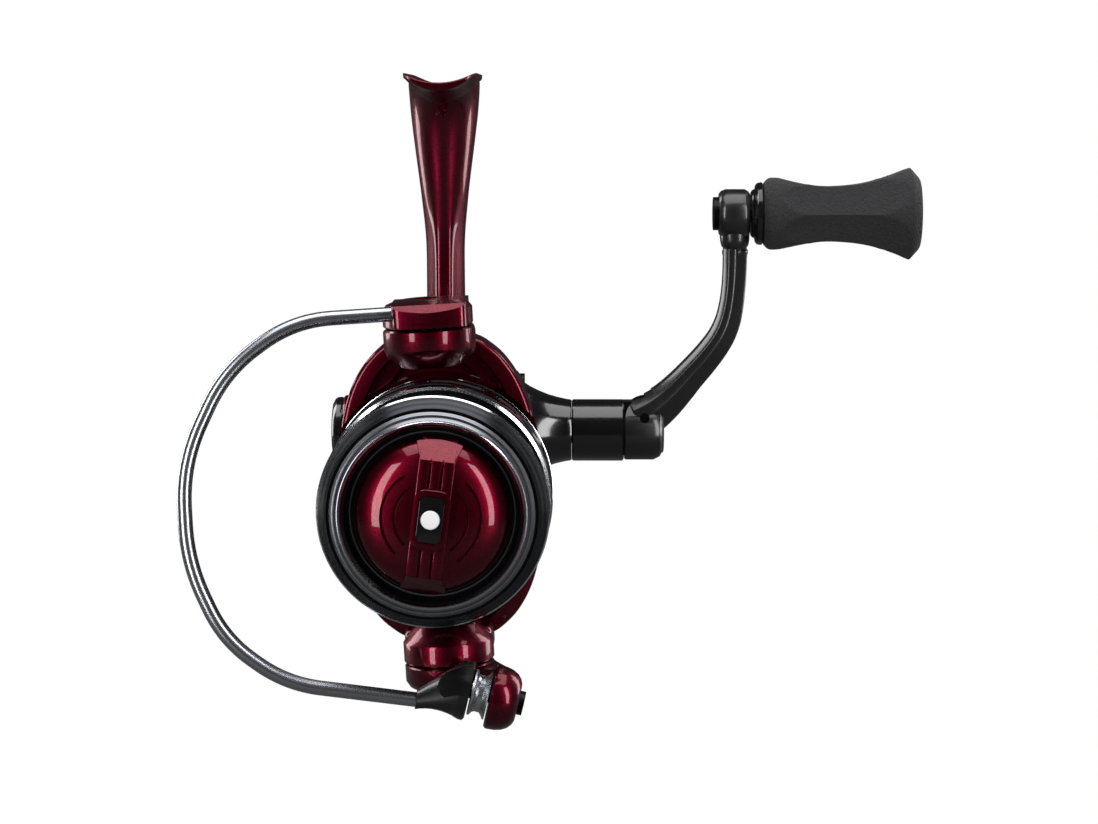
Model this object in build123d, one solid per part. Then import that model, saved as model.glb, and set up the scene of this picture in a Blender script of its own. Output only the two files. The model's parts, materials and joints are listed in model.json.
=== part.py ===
from build123d import *
import math
import os

# Open-face spinning reel, size 3000. Millimetres.
# Working frame: the spool axis is the Y axis and the spool's face looks along -Y. The rod foot is
# up (+Z) and the handle is on the right (+X). Y = 0 is the plane of the two bail pivots.
# The files are written in the part's own frame, whose origin is the middle of the rod seat.

# ---- overall sizes ----
SEAT_HEIGHT = 89.3  # spool axis up to the middle of the rod seat
SEAT_Y = 31.0  # middle of the foot, behind the bail pivots
FOOT_LENGTH = 58.0
FOOT_WIDTH = 16.3
SEAT_RADIUS = 15.6  # radius of the rod blank seat
FOOT_EDGE = 1.8  # thickness of the foot at its two tips
FOOT_ROOT = 5.0  # thickness of the foot over the stem
STEM_WAIST = 9.0
REST_TURN = -3.4  # the rotor stops this many degrees off upright

# ---- clearances ----
RUN_FIT = 0.05  # radial clearance of a shaft in its bearing
PRESS_GAP = 0.01  # radial gap of two pieces that are pressed or glued together
SIDE_GAP = 0.3  # between faces of pieces that move past each other
SWEEP_GAP = 0.7  # between the rotor and what stands still

# ---- main shaft, spool and drag ----
SHAFT_RADIUS = 2.5
SHAFT_FRONT = -34.0
SHAFT_BACK = 57.0
STROKE = 7.0  # the spool travels this far each way
LIP_RADIUS = 24.5
LIP_Y = -27.0
LIP_EDGE = 1.2
LIP_FRONT = -32.4
LIP_INNER = 18.4
RING_OUTER = 20.4
RING_BACK = -31.4
ARBOR_RADIUS = 17.0
ARBOR_FRONT = -24.6
ARBOR_BACK = -10.0
SKIRT_RADIUS = 24.9
SKIRT_WALL = 0.8
SKIRT_BACK = 8.0
BULKHEAD_BACK = -8.0
DRAG_BORE = 11.5
DRAG_FLOOR = -17.5
RECESS_FLOOR = -28.2
WASHER_THICKNESS = 1.0
WASHER_COUNT = 6
KNOB_RADIUS = 16.2
KNOB_BACK = -30.2
KNOB_RIM = -34.6
KNOB_FRONT = -38.6
KNOB_HUB = 7.0
NUT_SIZE = 4.6

# ---- rotor ----
BOSS_RADIUS = 9.9
BOSS_INNER = 28.2
BOSS_OUTER = 36.7
ROTOR_BACK = 20.8
ARM_THICKNESS = 5.2
ARM_TOP = 33.2
ARM_TOP_HALF = 12.5
DRUM_WALL = 1.4
DRUM_FRONT = 4.2
NUT_FRONT = 0.2

# ---- bail ----
BAIL_LAYER = 6.0  # thickness of the bail's side pieces, outside the bosses
WIRE_RADIUS = 1.6
BAIL_REACH = 53.4
BAIL_TOP = 40.3
ROLLER_X = 6.9
ROLLER_Y = -16.0
ROLLER_Z = -41.3
ROLLER_SLOPE = 16.5  # the line roller's axle drops to the right by this many degrees
ROLLER_RADIUS = 5.3
ROLLER_WIDTH = 3.8
CONE_RADIUS = 6.4
PIVOT_RADIUS = 2.5

# ---- body ----
HANDLE_Y = 36.0
HANDLE_Z = 10.0
CASE_FRONT = ROTOR_BACK + SWEEP_GAP + 0.4
CASE_WALL = 2.2
CASE_LEFT = -17.0
CASE_SPLIT = 9.0
CASE_RIGHT = 18.0
NOSE_RADIUS = 12.5
NOSE_FRONT = 9.6
BOSS_END = 28.9
BOSS_END_RADIUS = 7.1
LEFT_BOSS_END = -23.4
LEFT_BOSS_RADIUS = 8.0

# ---- drive ----
GEAR_TEETH = 36
PINION_TEETH = 7
GEAR_RADIUS = 11.4
GEAR_RING = 2.4
GEAR_THICKNESS = 3.0
TOOTH_HEIGHT = 1.0
PINION_RADIUS = 3.9
PINION_TIP = 4.7
PINION_TAIL = 3.3
DRIVE_RADIUS = 3.0
OSC_MODULE = 1.0
OSC_SMALL_TEETH = 10
OSC_LARGE_TEETH = 20
OSC_WIDTH = 3.0
OSC_X = -10.3
CRANK_PIN = 1.5
CRANK_REACH = 1.0

# ---- handle ----
COLLAR_START = 29.4
COLLAR_END = 40.9
COLLAR_RADIUS = 7.1
TONGUE = 5.0
FOLD_X = 45.6
FOLD_RISE = 3.45
ARM_BASE_END = 50.1
ARM_BEND_X = 52.6
ARM_BEND_Z = 22.0
THROW = 49.8
KNOB_BOSS_START = 62.5
KNOB_BOSS_END = 69.5
GRIP_START = 72.4
GRIP_END = 108.4


# Sizes of the hidden pieces and of the joints between them.
CLUTCH_RADIUS = 10.9
BEARING_RADIUS = 8.5
BEARING_FRONT = 16.8
BEARING_BACK = 20.8
BUSH_FRONT = 40.0
BUSH_BACK = 42.4
REAR_BUSH_RADIUS = 4.6
WEB_WALL = 1.3  # of the web round the rear bush
SIDE_BEARING_RADIUS = 6.5
SIDE_BEARING_WIDTH = 3.5
GUIDE_RADIUS = 1.2
GUIDE_DROP = 6.4
GUIDE_START = BUSH_BACK
SCREW_SPOTS = [(27.0, -11.5), (50.0, -13.3), (49.5, 19.5)]
POST_RADIUS = 2.5
SCREW_RADIUS = 1.3
RIGHT_BEARING = 18.6
CLUTCH_FRONT = 10.6
CLUTCH_BACK = 15.4
ROLLER_COUNT = 6
CLUTCH_ROLLER = 1.2
SLEEVE_RADIUS = 6.4
OSC_GAP = OSC_MODULE * (OSC_SMALL_TEETH + OSC_LARGE_TEETH) / 2
OSC_DROP = 8.0
OSC_Z = HANDLE_Z - OSC_DROP
PIN_RADIUS = 1.1
ARM_WIDTH = 6.2
ARM_DEPTH = 9.0
AXLE_RADIUS = 2.0
GRIP_CORE = 4.2
BUSH_RADIUS = 3.6
SPRING_OUTER = 6.6
SPRING_DEPTH = 4.6
SPRING_WIRE = 0.5
ROLLER_HALF = ROLLER_WIDTH / 2
CONE_LENGTH = 2.6
ARM_CAP = 6.2
AXLE_ROD = 1.5
ROLLER_BEARING = 2.9
SLIDER_FRONT = BUSH_BACK + 0.8
SLIDER_LENGTH = 5.0
SLIDER_HALF = GUIDE_DROP + GUIDE_RADIUS + 1.0
WASHERS_FRONT = DRAG_FLOOR - WASHER_COUNT * (WASHER_THICKNESS + 0.02)
PRESSER_BACK = WASHERS_FRONT - 0.1
PRESSER_FRONT = WASHERS_FRONT - 2.6


def rod(radius, start, end):
    """A round bar from start to end."""
    way = Vector(*end) - Vector(*start)
    place = Plane(origin=start, z_dir=way)
    return place * Cylinder(radius, way.length, align=(Align.CENTER, Align.CENTER, Align.MIN))


def along_y(radius, front, back, bore=0.0):
    """A round bar or tube on the spool axis."""
    bar = rod(radius, (0, front, 0), (0, back, 0))
    if bore > 0:
        bar = bar - rod(bore, (0, front - 1, 0), (0, back + 1, 0))
    return bar


def along_x(radius, left, right, bore=0.0, y=HANDLE_Y, z=HANDLE_Z):
    """A round bar or tube beside or on the handle axis."""
    bar = rod(radius, (left, y, z), (right, y, z))
    if bore > 0:
        bar = bar - rod(bore, (left - 1, y, z), (right + 1, y, z))
    return bar


def turned(profile):
    """A closed (radius, y) profile turned about the spool axis."""
    face = make_face(Polyline(*profile, close=True))
    return revolve(face, Axis.Y)


def turned_x(profile):
    """A closed (x, radius) profile turned about the handle axis."""
    face = make_face(Polyline(*profile, close=True))
    return Pos(0, HANDLE_Y, HANDLE_Z) * revolve(face, Axis.X)


def slab(outline, front, back):
    """An (x, z) outline made solid from front to back along Y."""
    face = Plane.XZ * make_face(Polyline(*outline, close=True))
    return Pos(0, back, 0) * extrude(face, back - front)


def block(x, y, z):
    """A box from its (low, high) spans."""
    middle = Pos((x[0] + x[1]) / 2, (y[0] + y[1]) / 2, (z[0] + z[1]) / 2)
    return middle * Box(x[1] - x[0], y[1] - y[0], z[1] - z[0])


def group(pieces):
    """Separate solids of one kind, kept together in one node."""
    together = pieces[0]
    for piece in pieces[1:]:
        together = together + piece
    return together


def arc_radii(points, share=0.45):
    """The largest smooth bend at each inner corner of a route."""
    radii = []
    for before, here, after in zip(points, points[1:], points[2:]):
        first = Vector(*here) - Vector(*before)
        second = Vector(*after) - Vector(*here)
        turn = math.radians(first.get_angle(second))
        radii.append(share * min(first.length, second.length) / math.tan(turn / 2))
    return radii


# ---- body: housing, covers and what is fixed in them ----


def case_outline(inset):
    """Side view of the gear case as (y, z), brought in by a wall."""
    front = CASE_FRONT + inset
    gear_top = HANDLE_Z + GEAR_RADIUS + 3.4 - inset
    floor = -17.5 + inset
    outline = [
        (front, floor + 3),
        (front + 6, floor),
        (HANDLE_Y + 12, floor),
        (SHAFT_BACK + STROKE + 2.5 - inset, floor + 7),
        (SHAFT_BACK + STROKE + 4.5 - inset, 0),
        (SHAFT_BACK + STROKE + 1.5 - inset, 8),
        (HANDLE_Y + 16 - inset / 2, gear_top - 3),
        (HANDLE_Y + 8, gear_top),
        (front + 3, gear_top),
        (front, gear_top - 4),
    ]
    return outline


def case_slab(left, right, inset):
    """The gear case's outline made solid from left to right along X."""
    face = Plane.YZ * make_face(Polyline(*case_outline(inset), close=True))
    return Pos(left, 0, 0) * extrude(face, right - left)


def stem():
    """The leg between the gear case and the foot, as a loft of rounded sections."""
    case_top = HANDLE_Z + GEAR_RADIUS + 3.4
    foot_under = SEAT_HEIGHT - FOOT_ROOT + 1.0
    rise = foot_under - case_top
    sections = [
        (case_top - 4.0, HANDLE_Y + 2.5, STEM_WAIST + 2.0, 27.0),
        (case_top + 0.30 * rise, HANDLE_Y + 1.0, STEM_WAIST, 20.0),
        (case_top + 0.66 * rise, HANDLE_Y - 2.0, STEM_WAIST + 2.0, 16.0),
        (foot_under, SEAT_Y, FOOT_WIDTH - 1.0, 24.0),
    ]
    faces = []
    for height, middle, width, depth in sections:
        faces.append(Pos(0, middle, height) * RectangleRounded(width, depth, width * 0.4))
    return loft(faces)


def foot():
    """The long foot plate, thin at both tips, hollowed on top for the rod."""
    half = FOOT_LENGTH / 2
    edge_rise = SEAT_RADIUS - math.sqrt(SEAT_RADIUS**2 - (FOOT_WIDTH / 2) ** 2)
    top = SEAT_HEIGHT + edge_rise
    side = [
        (SEAT_Y - half, SEAT_HEIGHT - FOOT_EDGE),
        (SEAT_Y - half * 0.45, SEAT_HEIGHT - FOOT_ROOT),
        (SEAT_Y + half * 0.45, SEAT_HEIGHT - FOOT_ROOT),
        (SEAT_Y + half, SEAT_HEIGHT - FOOT_EDGE),
        (SEAT_Y + half, top),
        (SEAT_Y - half, top),
    ]
    face = Plane.YZ * make_face(Polyline(*side, close=True))
    plate = Pos(-FOOT_WIDTH / 2, 0, 0) * extrude(face, FOOT_WIDTH)
    middle = SEAT_HEIGHT + SEAT_RADIUS
    blank = rod(SEAT_RADIUS, (0, SEAT_Y - half - 1, middle), (0, SEAT_Y + half + 1, middle))
    return plate - blank


def nose():
    """The tube ahead of the gear case that holds the front bearing and the one-way clutch."""
    back = CASE_FRONT + 1.0
    tube = along_y(NOSE_RADIUS, NOSE_FRONT, back)
    tube = tube - along_y(CLUTCH_RADIUS + PRESS_GAP, NOSE_FRONT - 1, BEARING_FRONT - 1.2)
    return tube - along_y(BEARING_RADIUS + PRESS_GAP, NOSE_FRONT - 1, BEARING_BACK)


def body_housing():
    """Case, nose, stem and foot, cast in one."""
    shell = case_slab(CASE_LEFT, CASE_SPLIT, 0) + stem() + foot() + nose()
    shell = shell + along_x(LEFT_BOSS_RADIUS, LEFT_BOSS_END, CASE_LEFT + 1)
    room = case_slab(CASE_LEFT + CASE_WALL, CASE_SPLIT + 1, CASE_WALL)
    web_front = BUSH_FRONT - 0.6
    web_left = -REAR_BUSH_RADIUS - WEB_WALL
    web = block((web_left, PINION_TIP - 0.2), (web_front, BUSH_BACK), (-16.5, GUIDE_DROP + 2.0))
    shell = shell - room
    shell = shell + (web & case_slab(CASE_LEFT, CASE_SPLIT, 1.0))
    shell = shell - along_y(BEARING_RADIUS + PRESS_GAP, CASE_FRONT - 2, BEARING_BACK)
    shell = shell - along_y(PINION_TIP + 1.0, BEARING_FRONT, CASE_FRONT + CASE_WALL + 1)
    shell = shell - along_y(REAR_BUSH_RADIUS + PRESS_GAP, web_front - 1, BUSH_BACK + 1)
    shell = shell - case_slab(CASE_SPLIT, CASE_RIGHT, 0)
    bearing = SIDE_BEARING_RADIUS + PRESS_GAP
    shell = shell - along_x(bearing, LEFT_BOSS_END - 1, CASE_LEFT + CASE_WALL + 1)
    for y, z in SCREW_SPOTS:
        post = along_x(POST_RADIUS, CASE_LEFT + 1, CASE_SPLIT, 0, y, z)
        post = post & case_slab(CASE_LEFT, CASE_SPLIT, 0.5)
        shell = shell + post
    for y, z in SCREW_SPOTS:
        shell = shell - along_x(SCREW_RADIUS + PRESS_GAP, 0, CASE_SPLIT + 1, 0, y, z)
    for side in (-1, 1):
        spot = (0, GUIDE_START - 1.4, side * GUIDE_DROP)
        shell = shell - rod(GUIDE_RADIUS + PRESS_GAP, spot, (0, GUIDE_START, side * GUIDE_DROP))
    return shell


def side_cover():
    """Handle-side cover with its flared boss."""
    shell = case_slab(CASE_SPLIT, CASE_RIGHT, 0)
    flare = [
        (CASE_RIGHT - 3, 0),
        (CASE_RIGHT - 3, 10.4),
        (CASE_RIGHT + 0.8, 10.0),
        (CASE_RIGHT + 5.4, 8.3),
        (BOSS_END - 1.0, BOSS_END_RADIUS),
        (BOSS_END, BOSS_END_RADIUS),
        (BOSS_END, 0),
    ]
    shell = shell + turned_x(flare)
    shell = shell - case_slab(CASE_SPLIT - 1, CASE_RIGHT - CASE_WALL, CASE_WALL)
    bearing = SIDE_BEARING_RADIUS + PRESS_GAP
    shell = shell - along_x(bearing, CASE_RIGHT - CASE_WALL - 1, RIGHT_BEARING + SIDE_BEARING_WIDTH)
    shell = shell - along_x(DRIVE_RADIUS + 0.5, CASE_SPLIT, BOSS_END + 1)
    for y, z in SCREW_SPOTS:
        post = along_x(POST_RADIUS, CASE_SPLIT, CASE_RIGHT, 0, y, z)
        shell = shell + (post & case_slab(CASE_SPLIT, CASE_RIGHT, 0.5))
    for y, z in SCREW_SPOTS:
        shell = shell - along_x(SCREW_RADIUS + PRESS_GAP, CASE_SPLIT - 1, CASE_RIGHT + 1, 0, y, z)
        shell = shell - along_x(2.4, CASE_RIGHT - 1.4, CASE_RIGHT + 1, 0, y, z)
    return shell


def cover_screws():
    """Three screws that hold the side cover on."""
    screws = []
    for y, z in SCREW_SPOTS:
        shank = along_x(SCREW_RADIUS, 1.0, CASE_RIGHT - 1.0, 0, y, z)
        head = along_x(2.3, CASE_RIGHT - 1.4, CASE_RIGHT - 0.1, 0, y, z)
        slot = block((CASE_RIGHT - 0.7, CASE_RIGHT), (y - 1.6, y + 1.6), (z - 0.3, z + 0.3))
        cross = block((CASE_RIGHT - 0.7, CASE_RIGHT), (y - 0.3, y + 0.3), (z - 1.6, z + 1.6))
        screws.append(shank + head - slot - cross)
    return group(screws)


def rear_cover():
    """The trim cap over the back of the gear case."""
    back = SHAFT_BACK + STROKE + 4.5
    cap = case_slab(CASE_LEFT - 0.8, CASE_RIGHT + 0.8, -0.8)
    cap = cap & block((CASE_LEFT - 2, CASE_RIGHT + 2), (back - 9.0, back + 5), (-30, 30))
    return cap - case_slab(CASE_LEFT - PRESS_GAP, CASE_RIGHT + PRESS_GAP, -PRESS_GAP)


def handle_hole_cap():
    """Screw cap over the unused left end of the drive shaft."""
    cap = along_x(LEFT_BOSS_RADIUS - 0.4, LEFT_BOSS_END - 2.7, LEFT_BOSS_END)
    return cap + along_x(SIDE_BEARING_RADIUS, LEFT_BOSS_END - 0.1, LEFT_BOSS_END + 0.9)


def side_bearing(left):
    """A ball bearing for the drive shaft, drawn as one ring with its two shields."""
    right = left + SIDE_BEARING_WIDTH
    ring = along_x(SIDE_BEARING_RADIUS, left, right, DRIVE_RADIUS + RUN_FIT)
    groove = along_x(5.7, left - 1, left + 0.3, 3.9) + along_x(5.7, right - 0.3, right + 1, 3.9)
    return ring - groove


def shaft_bearing(radius, bore, front, back):
    """A ball bearing on the spool axis, with a shield groove on both faces."""
    ring = along_y(radius, front, back, bore)
    middle = (radius + bore) / 2
    for low, high in ((front - 1, front + 0.3), (back - 0.3, back + 1)):
        ring = ring - along_y(middle + 0.9, low, high, middle - 0.9)
    return ring


def rear_bush():
    """The plain bush behind the pinion's teeth."""
    return along_y(REAR_BUSH_RADIUS, BUSH_FRONT, BUSH_BACK, PINION_TAIL + RUN_FIT)


def clutch_ring():
    """Outer ring of the one-way clutch, with a ramp pocket for each roller."""
    ring = along_y(CLUTCH_RADIUS, CLUTCH_FRONT, CLUTCH_BACK, SLEEVE_RADIUS + 2 * CLUTCH_ROLLER + 0.2)
    return ring


def clutch_rollers():
    """The needle rollers of the one-way clutch."""
    spot = SLEEVE_RADIUS + CLUTCH_ROLLER + 0.1
    rollers = []
    for i in range(ROLLER_COUNT):
        turn = math.radians(360 / ROLLER_COUNT * i)
        x, z = spot * math.cos(turn), spot * math.sin(turn)
        rollers.append(rod(CLUTCH_ROLLER, (x, CLUTCH_FRONT + 0.3, z), (x, CLUTCH_BACK - 0.3, z)))
    return group(rollers)


def clutch_plate():
    """Retainer plate screwed over the clutch, at the mouth of the nose."""
    plate = along_y(CLUTCH_RADIUS, NOSE_FRONT + 0.1, CLUTCH_FRONT - 0.05, SLEEVE_RADIUS + 0.5)
    return plate


def guide_rods():
    """The two rods that the slider runs on."""
    rods = []
    for side in (-1, 1):
        start = (0, GUIDE_START - 1.4, side * GUIDE_DROP)
        rods.append(rod(GUIDE_RADIUS, start, (0, SHAFT_BACK + 3.0, side * GUIDE_DROP)))
    return group(rods)


# ---- drive: gear, shafts and handle ----


def drive_gear():
    """Face gear beside the pinion. Its teeth stand on the side towards the spool axis."""
    face = PINION_TIP + 0.15 + TOOTH_HEIGHT
    wheel = along_x(GEAR_RADIUS, face, face + GEAR_THICKNESS, DRIVE_RADIUS + PRESS_GAP)
    wheel = wheel - along_x(GEAR_RADIUS - GEAR_RING - 0.6, face - 1, face + 0.9, 5.0)
    middle = GEAR_RADIUS - GEAR_RING / 2
    width = 0.42 * 2 * math.pi * middle / GEAR_TEETH
    tooth = Pos(face - TOOTH_HEIGHT / 2 + 0.05, 0, middle) * Box(TOOTH_HEIGHT + 0.1, width, GEAR_RING)
    for i in range(GEAR_TEETH):
        wheel = wheel + Pos(0, HANDLE_Y, HANDLE_Z) * Rot(360 / GEAR_TEETH * i, 0, 0) * tooth
    return wheel


def drive_shaft():
    """The shaft of the drive gear, from the left bearing to the handle collar."""
    shaft = along_x(DRIVE_RADIUS, LEFT_BOSS_END + 1.2, COLLAR_START + 6.0)
    return shaft


def spur_gear(teeth, left, bore):
    """A small straight-toothed wheel about the X axis at the origin."""
    pitch_radius = OSC_MODULE * teeth / 2
    root = pitch_radius - 1.0 * OSC_MODULE
    tip = pitch_radius + 0.7 * OSC_MODULE
    circular = math.pi * OSC_MODULE
    wheel = rod(root, (left, 0, 0), (left + OSC_WIDTH, 0, 0))
    outline = [
        (-0.26 * circular, root - 0.3),
        (0.26 * circular, root - 0.3),
        (0.19 * circular, pitch_radius),
        (0.09 * circular, tip),
        (-0.09 * circular, tip),
        (-0.19 * circular, pitch_radius),
    ]
    tooth = Pos(left, 0, 0) * extrude(Plane.YZ * make_face(Polyline(*outline, close=True)), OSC_WIDTH)
    for i in range(teeth):
        wheel = wheel + Rot(360 / teeth * i, 0, 0) * tooth
    return wheel - rod(bore, (left - 1, 0, 0), (left + OSC_WIDTH + 1, 0, 0))


OSC_Y = HANDLE_Y + math.sqrt(OSC_GAP**2 - OSC_DROP**2)
MESH_ANGLE = math.degrees(math.atan2(-OSC_DROP, OSC_Y - HANDLE_Y))


def oscillation_pinion():
    """The small wheel on the drive shaft that drives the spool's to-and-fro motion."""
    turn = MESH_ANGLE - 90
    wheel = spur_gear(OSC_SMALL_TEETH, OSC_X, DRIVE_RADIUS + PRESS_GAP)
    return Pos(0, HANDLE_Y, HANDLE_Z) * Rot(turn, 0, 0) * wheel


def oscillation_gear():
    """The large wheel with the crank pin, turning on a stud of the housing."""
    turn = MESH_ANGLE + 90 + 180 / OSC_LARGE_TEETH
    wheel = spur_gear(OSC_LARGE_TEETH, OSC_X, CRANK_PIN + RUN_FIT)
    return Pos(0, OSC_Y, OSC_Z) * Rot(turn, 0, 0) * wheel


def crank_pin():
    """The pin on the large wheel that works the slider's slot."""
    right = OSC_X + OSC_WIDTH
    low = OSC_Z - STROKE
    return rod(CRANK_PIN, (right, OSC_Y, low), (right + CRANK_REACH, OSC_Y, low))


def oscillation_stud():
    """The stud in the housing wall that the large wheel turns on."""
    wall = CASE_LEFT + CASE_WALL
    stud = rod(CRANK_PIN, (wall, OSC_Y, OSC_Z), (OSC_X + OSC_WIDTH + 0.6, OSC_Y, OSC_Z))
    return stud + rod(3.0, (wall, OSC_Y, OSC_Z), (OSC_X - SIDE_GAP, OSC_Y, OSC_Z))


def handle_collar():
    """The round collar on the drive shaft, ending in the tongue that the arm folds on."""
    collar = turned_x(
        [
            (COLLAR_START, 0),
            (COLLAR_START, COLLAR_RADIUS - 0.3),
            (COLLAR_START + 0.3, COLLAR_RADIUS),
            (COLLAR_END - 0.3, COLLAR_RADIUS),
            (COLLAR_END, COLLAR_RADIUS - 0.3),
            (COLLAR_END, 0),
        ]
    )
    low, high = HANDLE_Y - TONGUE / 2, HANDLE_Y + TONGUE / 2
    fold_z = HANDLE_Z + FOLD_RISE
    tongue = block((COLLAR_END - 1, FOLD_X), (low, high), (fold_z - 3.4, fold_z + 3.4))
    tongue = tongue + rod(3.4, (FOLD_X, low, fold_z), (FOLD_X, high, fold_z))
    collar = collar + tongue
    collar = collar - rod(PIN_RADIUS + RUN_FIT, (FOLD_X, low - 1, fold_z), (FOLD_X, high + 1, fold_z))
    return collar - along_x(DRIVE_RADIUS + PRESS_GAP, COLLAR_START - 1, COLLAR_START + 6.2)


def arm_route():
    """Middle line of the handle arm as (x, z), from the fold to the knob boss."""
    knob_z = HANDLE_Z + THROW
    middle = (KNOB_BOSS_START + KNOB_BOSS_END) / 2
    return [
        (ARM_BASE_END - 5.5, HANDLE_Z + 1.2),
        (ARM_BEND_X, ARM_BEND_Z - 4.0),
        (middle - 1.6, HANDLE_Z + 31.0),
        (middle, knob_z),
    ]


def handle_arm():
    """The cranked arm: a forked base, the bent bar and the boss at its top."""
    low, high = HANDLE_Y - COLLAR_RADIUS, HANDLE_Y + COLLAR_RADIUS
    fold_z = HANDLE_Z + FOLD_RISE
    start = COLLAR_END + SIDE_GAP
    base = along_x(COLLAR_RADIUS, start, ARM_BASE_END)
    heel = HANDLE_Z - COLLAR_RADIUS
    corner = block((start - 1, FOLD_X), (low - 1, high + 1), (fold_z, fold_z + 9))
    corner = corner - rod(FOLD_X - start, (FOLD_X, low - 2, fold_z), (FOLD_X, high + 2, fold_z))
    base = base - corner
    foot_cut = block((ARM_BASE_END - 3, ARM_BASE_END + 1), (low - 1, high + 1), (heel - 1, heel + 3))
    foot_cut = foot_cut - rod(3, (ARM_BASE_END - 3, low - 2, heel + 3), (ARM_BASE_END - 3, high + 2, heel + 3))
    base = base - foot_cut
    points = arm_route()
    knob_z = HANDLE_Z + THROW
    route = FilletPolyline(*points, radius=arc_radii(points))
    path = Plane.XZ * route
    section = Plane(origin=path @ 0, z_dir=path % 0) * RectangleRounded(ARM_WIDTH, ARM_DEPTH, 2.6)
    bar = Pos(0, HANDLE_Y, 0) * sweep(section, path)
    boss = along_x(5.6, KNOB_BOSS_START, KNOB_BOSS_END, 0, HANDLE_Y, knob_z)
    arm = base + bar + boss
    slot_low, slot_high = HANDLE_Y - TONGUE / 2 - SIDE_GAP, HANDLE_Y + TONGUE / 2 + SIDE_GAP
    slot = block((start - 1, FOLD_X), (slot_low, slot_high), (heel - 1, fold_z + 12))
    slot = slot + rod(4.2, (FOLD_X, slot_low, fold_z), (FOLD_X, slot_high, fold_z))
    slot = slot + block((start - 1, FOLD_X + 4.2), (slot_low, slot_high), (heel - 1, fold_z))
    arm = arm - slot
    arm = arm - rod(PIN_RADIUS + PRESS_GAP, (FOLD_X, low - 3, fold_z), (FOLD_X, high + 3, fold_z))
    bore = AXLE_RADIUS + PRESS_GAP
    return arm - along_x(bore, KNOB_BOSS_START - 2, KNOB_BOSS_END + 1, 0, HANDLE_Y, knob_z)


def fold_pin():
    """The hinge pin of the folding handle."""
    fold_z = HANDLE_Z + FOLD_RISE
    reach = math.sqrt(COLLAR_RADIUS**2 - FOLD_RISE**2) - 0.3
    return rod(PIN_RADIUS, (FOLD_X, HANDLE_Y - reach, fold_z), (FOLD_X, HANDLE_Y + reach, fold_z))


def knob_axle():
    """The riveted axle that the knob turns on."""
    z = HANDLE_Z + THROW
    axle = along_x(AXLE_RADIUS, KNOB_BOSS_START - 0.3, GRIP_END - 6.0, 0, HANDLE_Y, z)
    return axle + along_x(3.8, KNOB_BOSS_START - 1.3, KNOB_BOSS_START, 0, HANDLE_Y, z)


def at_knob(profile):
    """An (x, radius) profile turned about the knob's axis."""
    face = make_face(Polyline(*profile, close=True))
    return Pos(0, HANDLE_Y, HANDLE_Z + THROW) * revolve(face, Axis.X)


def knob_collar():
    """The hard collar between the arm and the grip."""
    start = KNOB_BOSS_END + SIDE_GAP
    bore = AXLE_RADIUS + RUN_FIT
    return at_knob([(start, bore), (start, 5.4), (GRIP_START, 7.2), (GRIP_START, bore)])


def knob_grip():
    """The foam grip, waisted in the middle and flared at its end."""
    profile = [
        (GRIP_START, GRIP_CORE + PRESS_GAP),
        (GRIP_START, 6.6),
        (GRIP_START + 1.8, 8.2),
        (GRIP_START + 9.0, 7.6),
        (GRIP_START + 13.6, 7.5),
        (GRIP_START + 22.8, 8.3),
        (GRIP_START + 27.4, 9.1),
        (GRIP_START + 32.6, 10.4),
        (GRIP_END - 1.4, 9.4),
        (GRIP_END, 6.0),
        (GRIP_END, GRIP_CORE + PRESS_GAP),
    ]
    return at_knob(profile)


def knob_core():
    """The hard sleeve inside the foam, closed at its outer end."""
    bore = BUSH_RADIUS + PRESS_GAP
    core = at_knob(
        [
            (GRIP_START, bore),
            (GRIP_START, GRIP_CORE),
            (GRIP_END - 0.6, GRIP_CORE),
            (GRIP_END - 0.6, bore),
        ]
    )
    return core


def knob_bushes():
    """Two bushes that the knob turns on."""
    bushes = []
    for left in (GRIP_START + 0.4, GRIP_END - 11.0):
        bush = along_x(BUSH_RADIUS, left, left + 4.0, AXLE_RADIUS + RUN_FIT, HANDLE_Y, HANDLE_Z + THROW)
        bushes.append(bush)
    return group(bushes)


def knob_end_cap():
    """The plug in the knob's end, over the axle."""
    z = HANDLE_Z + THROW
    return along_x(BUSH_RADIUS, GRIP_END - 4.0, GRIP_END - 0.3, 0, HANDLE_Y, z)


# ---- rotor ----


def arm_half_outline():
    """Half width of the rotor's arms against distance from the axis, as (x, z)."""
    return [(22.6, 0.0), (22.2, 11.0), (19.4, 23.0), (15.6, 31.0), (ARM_TOP_HALF, ARM_TOP)]


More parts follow.
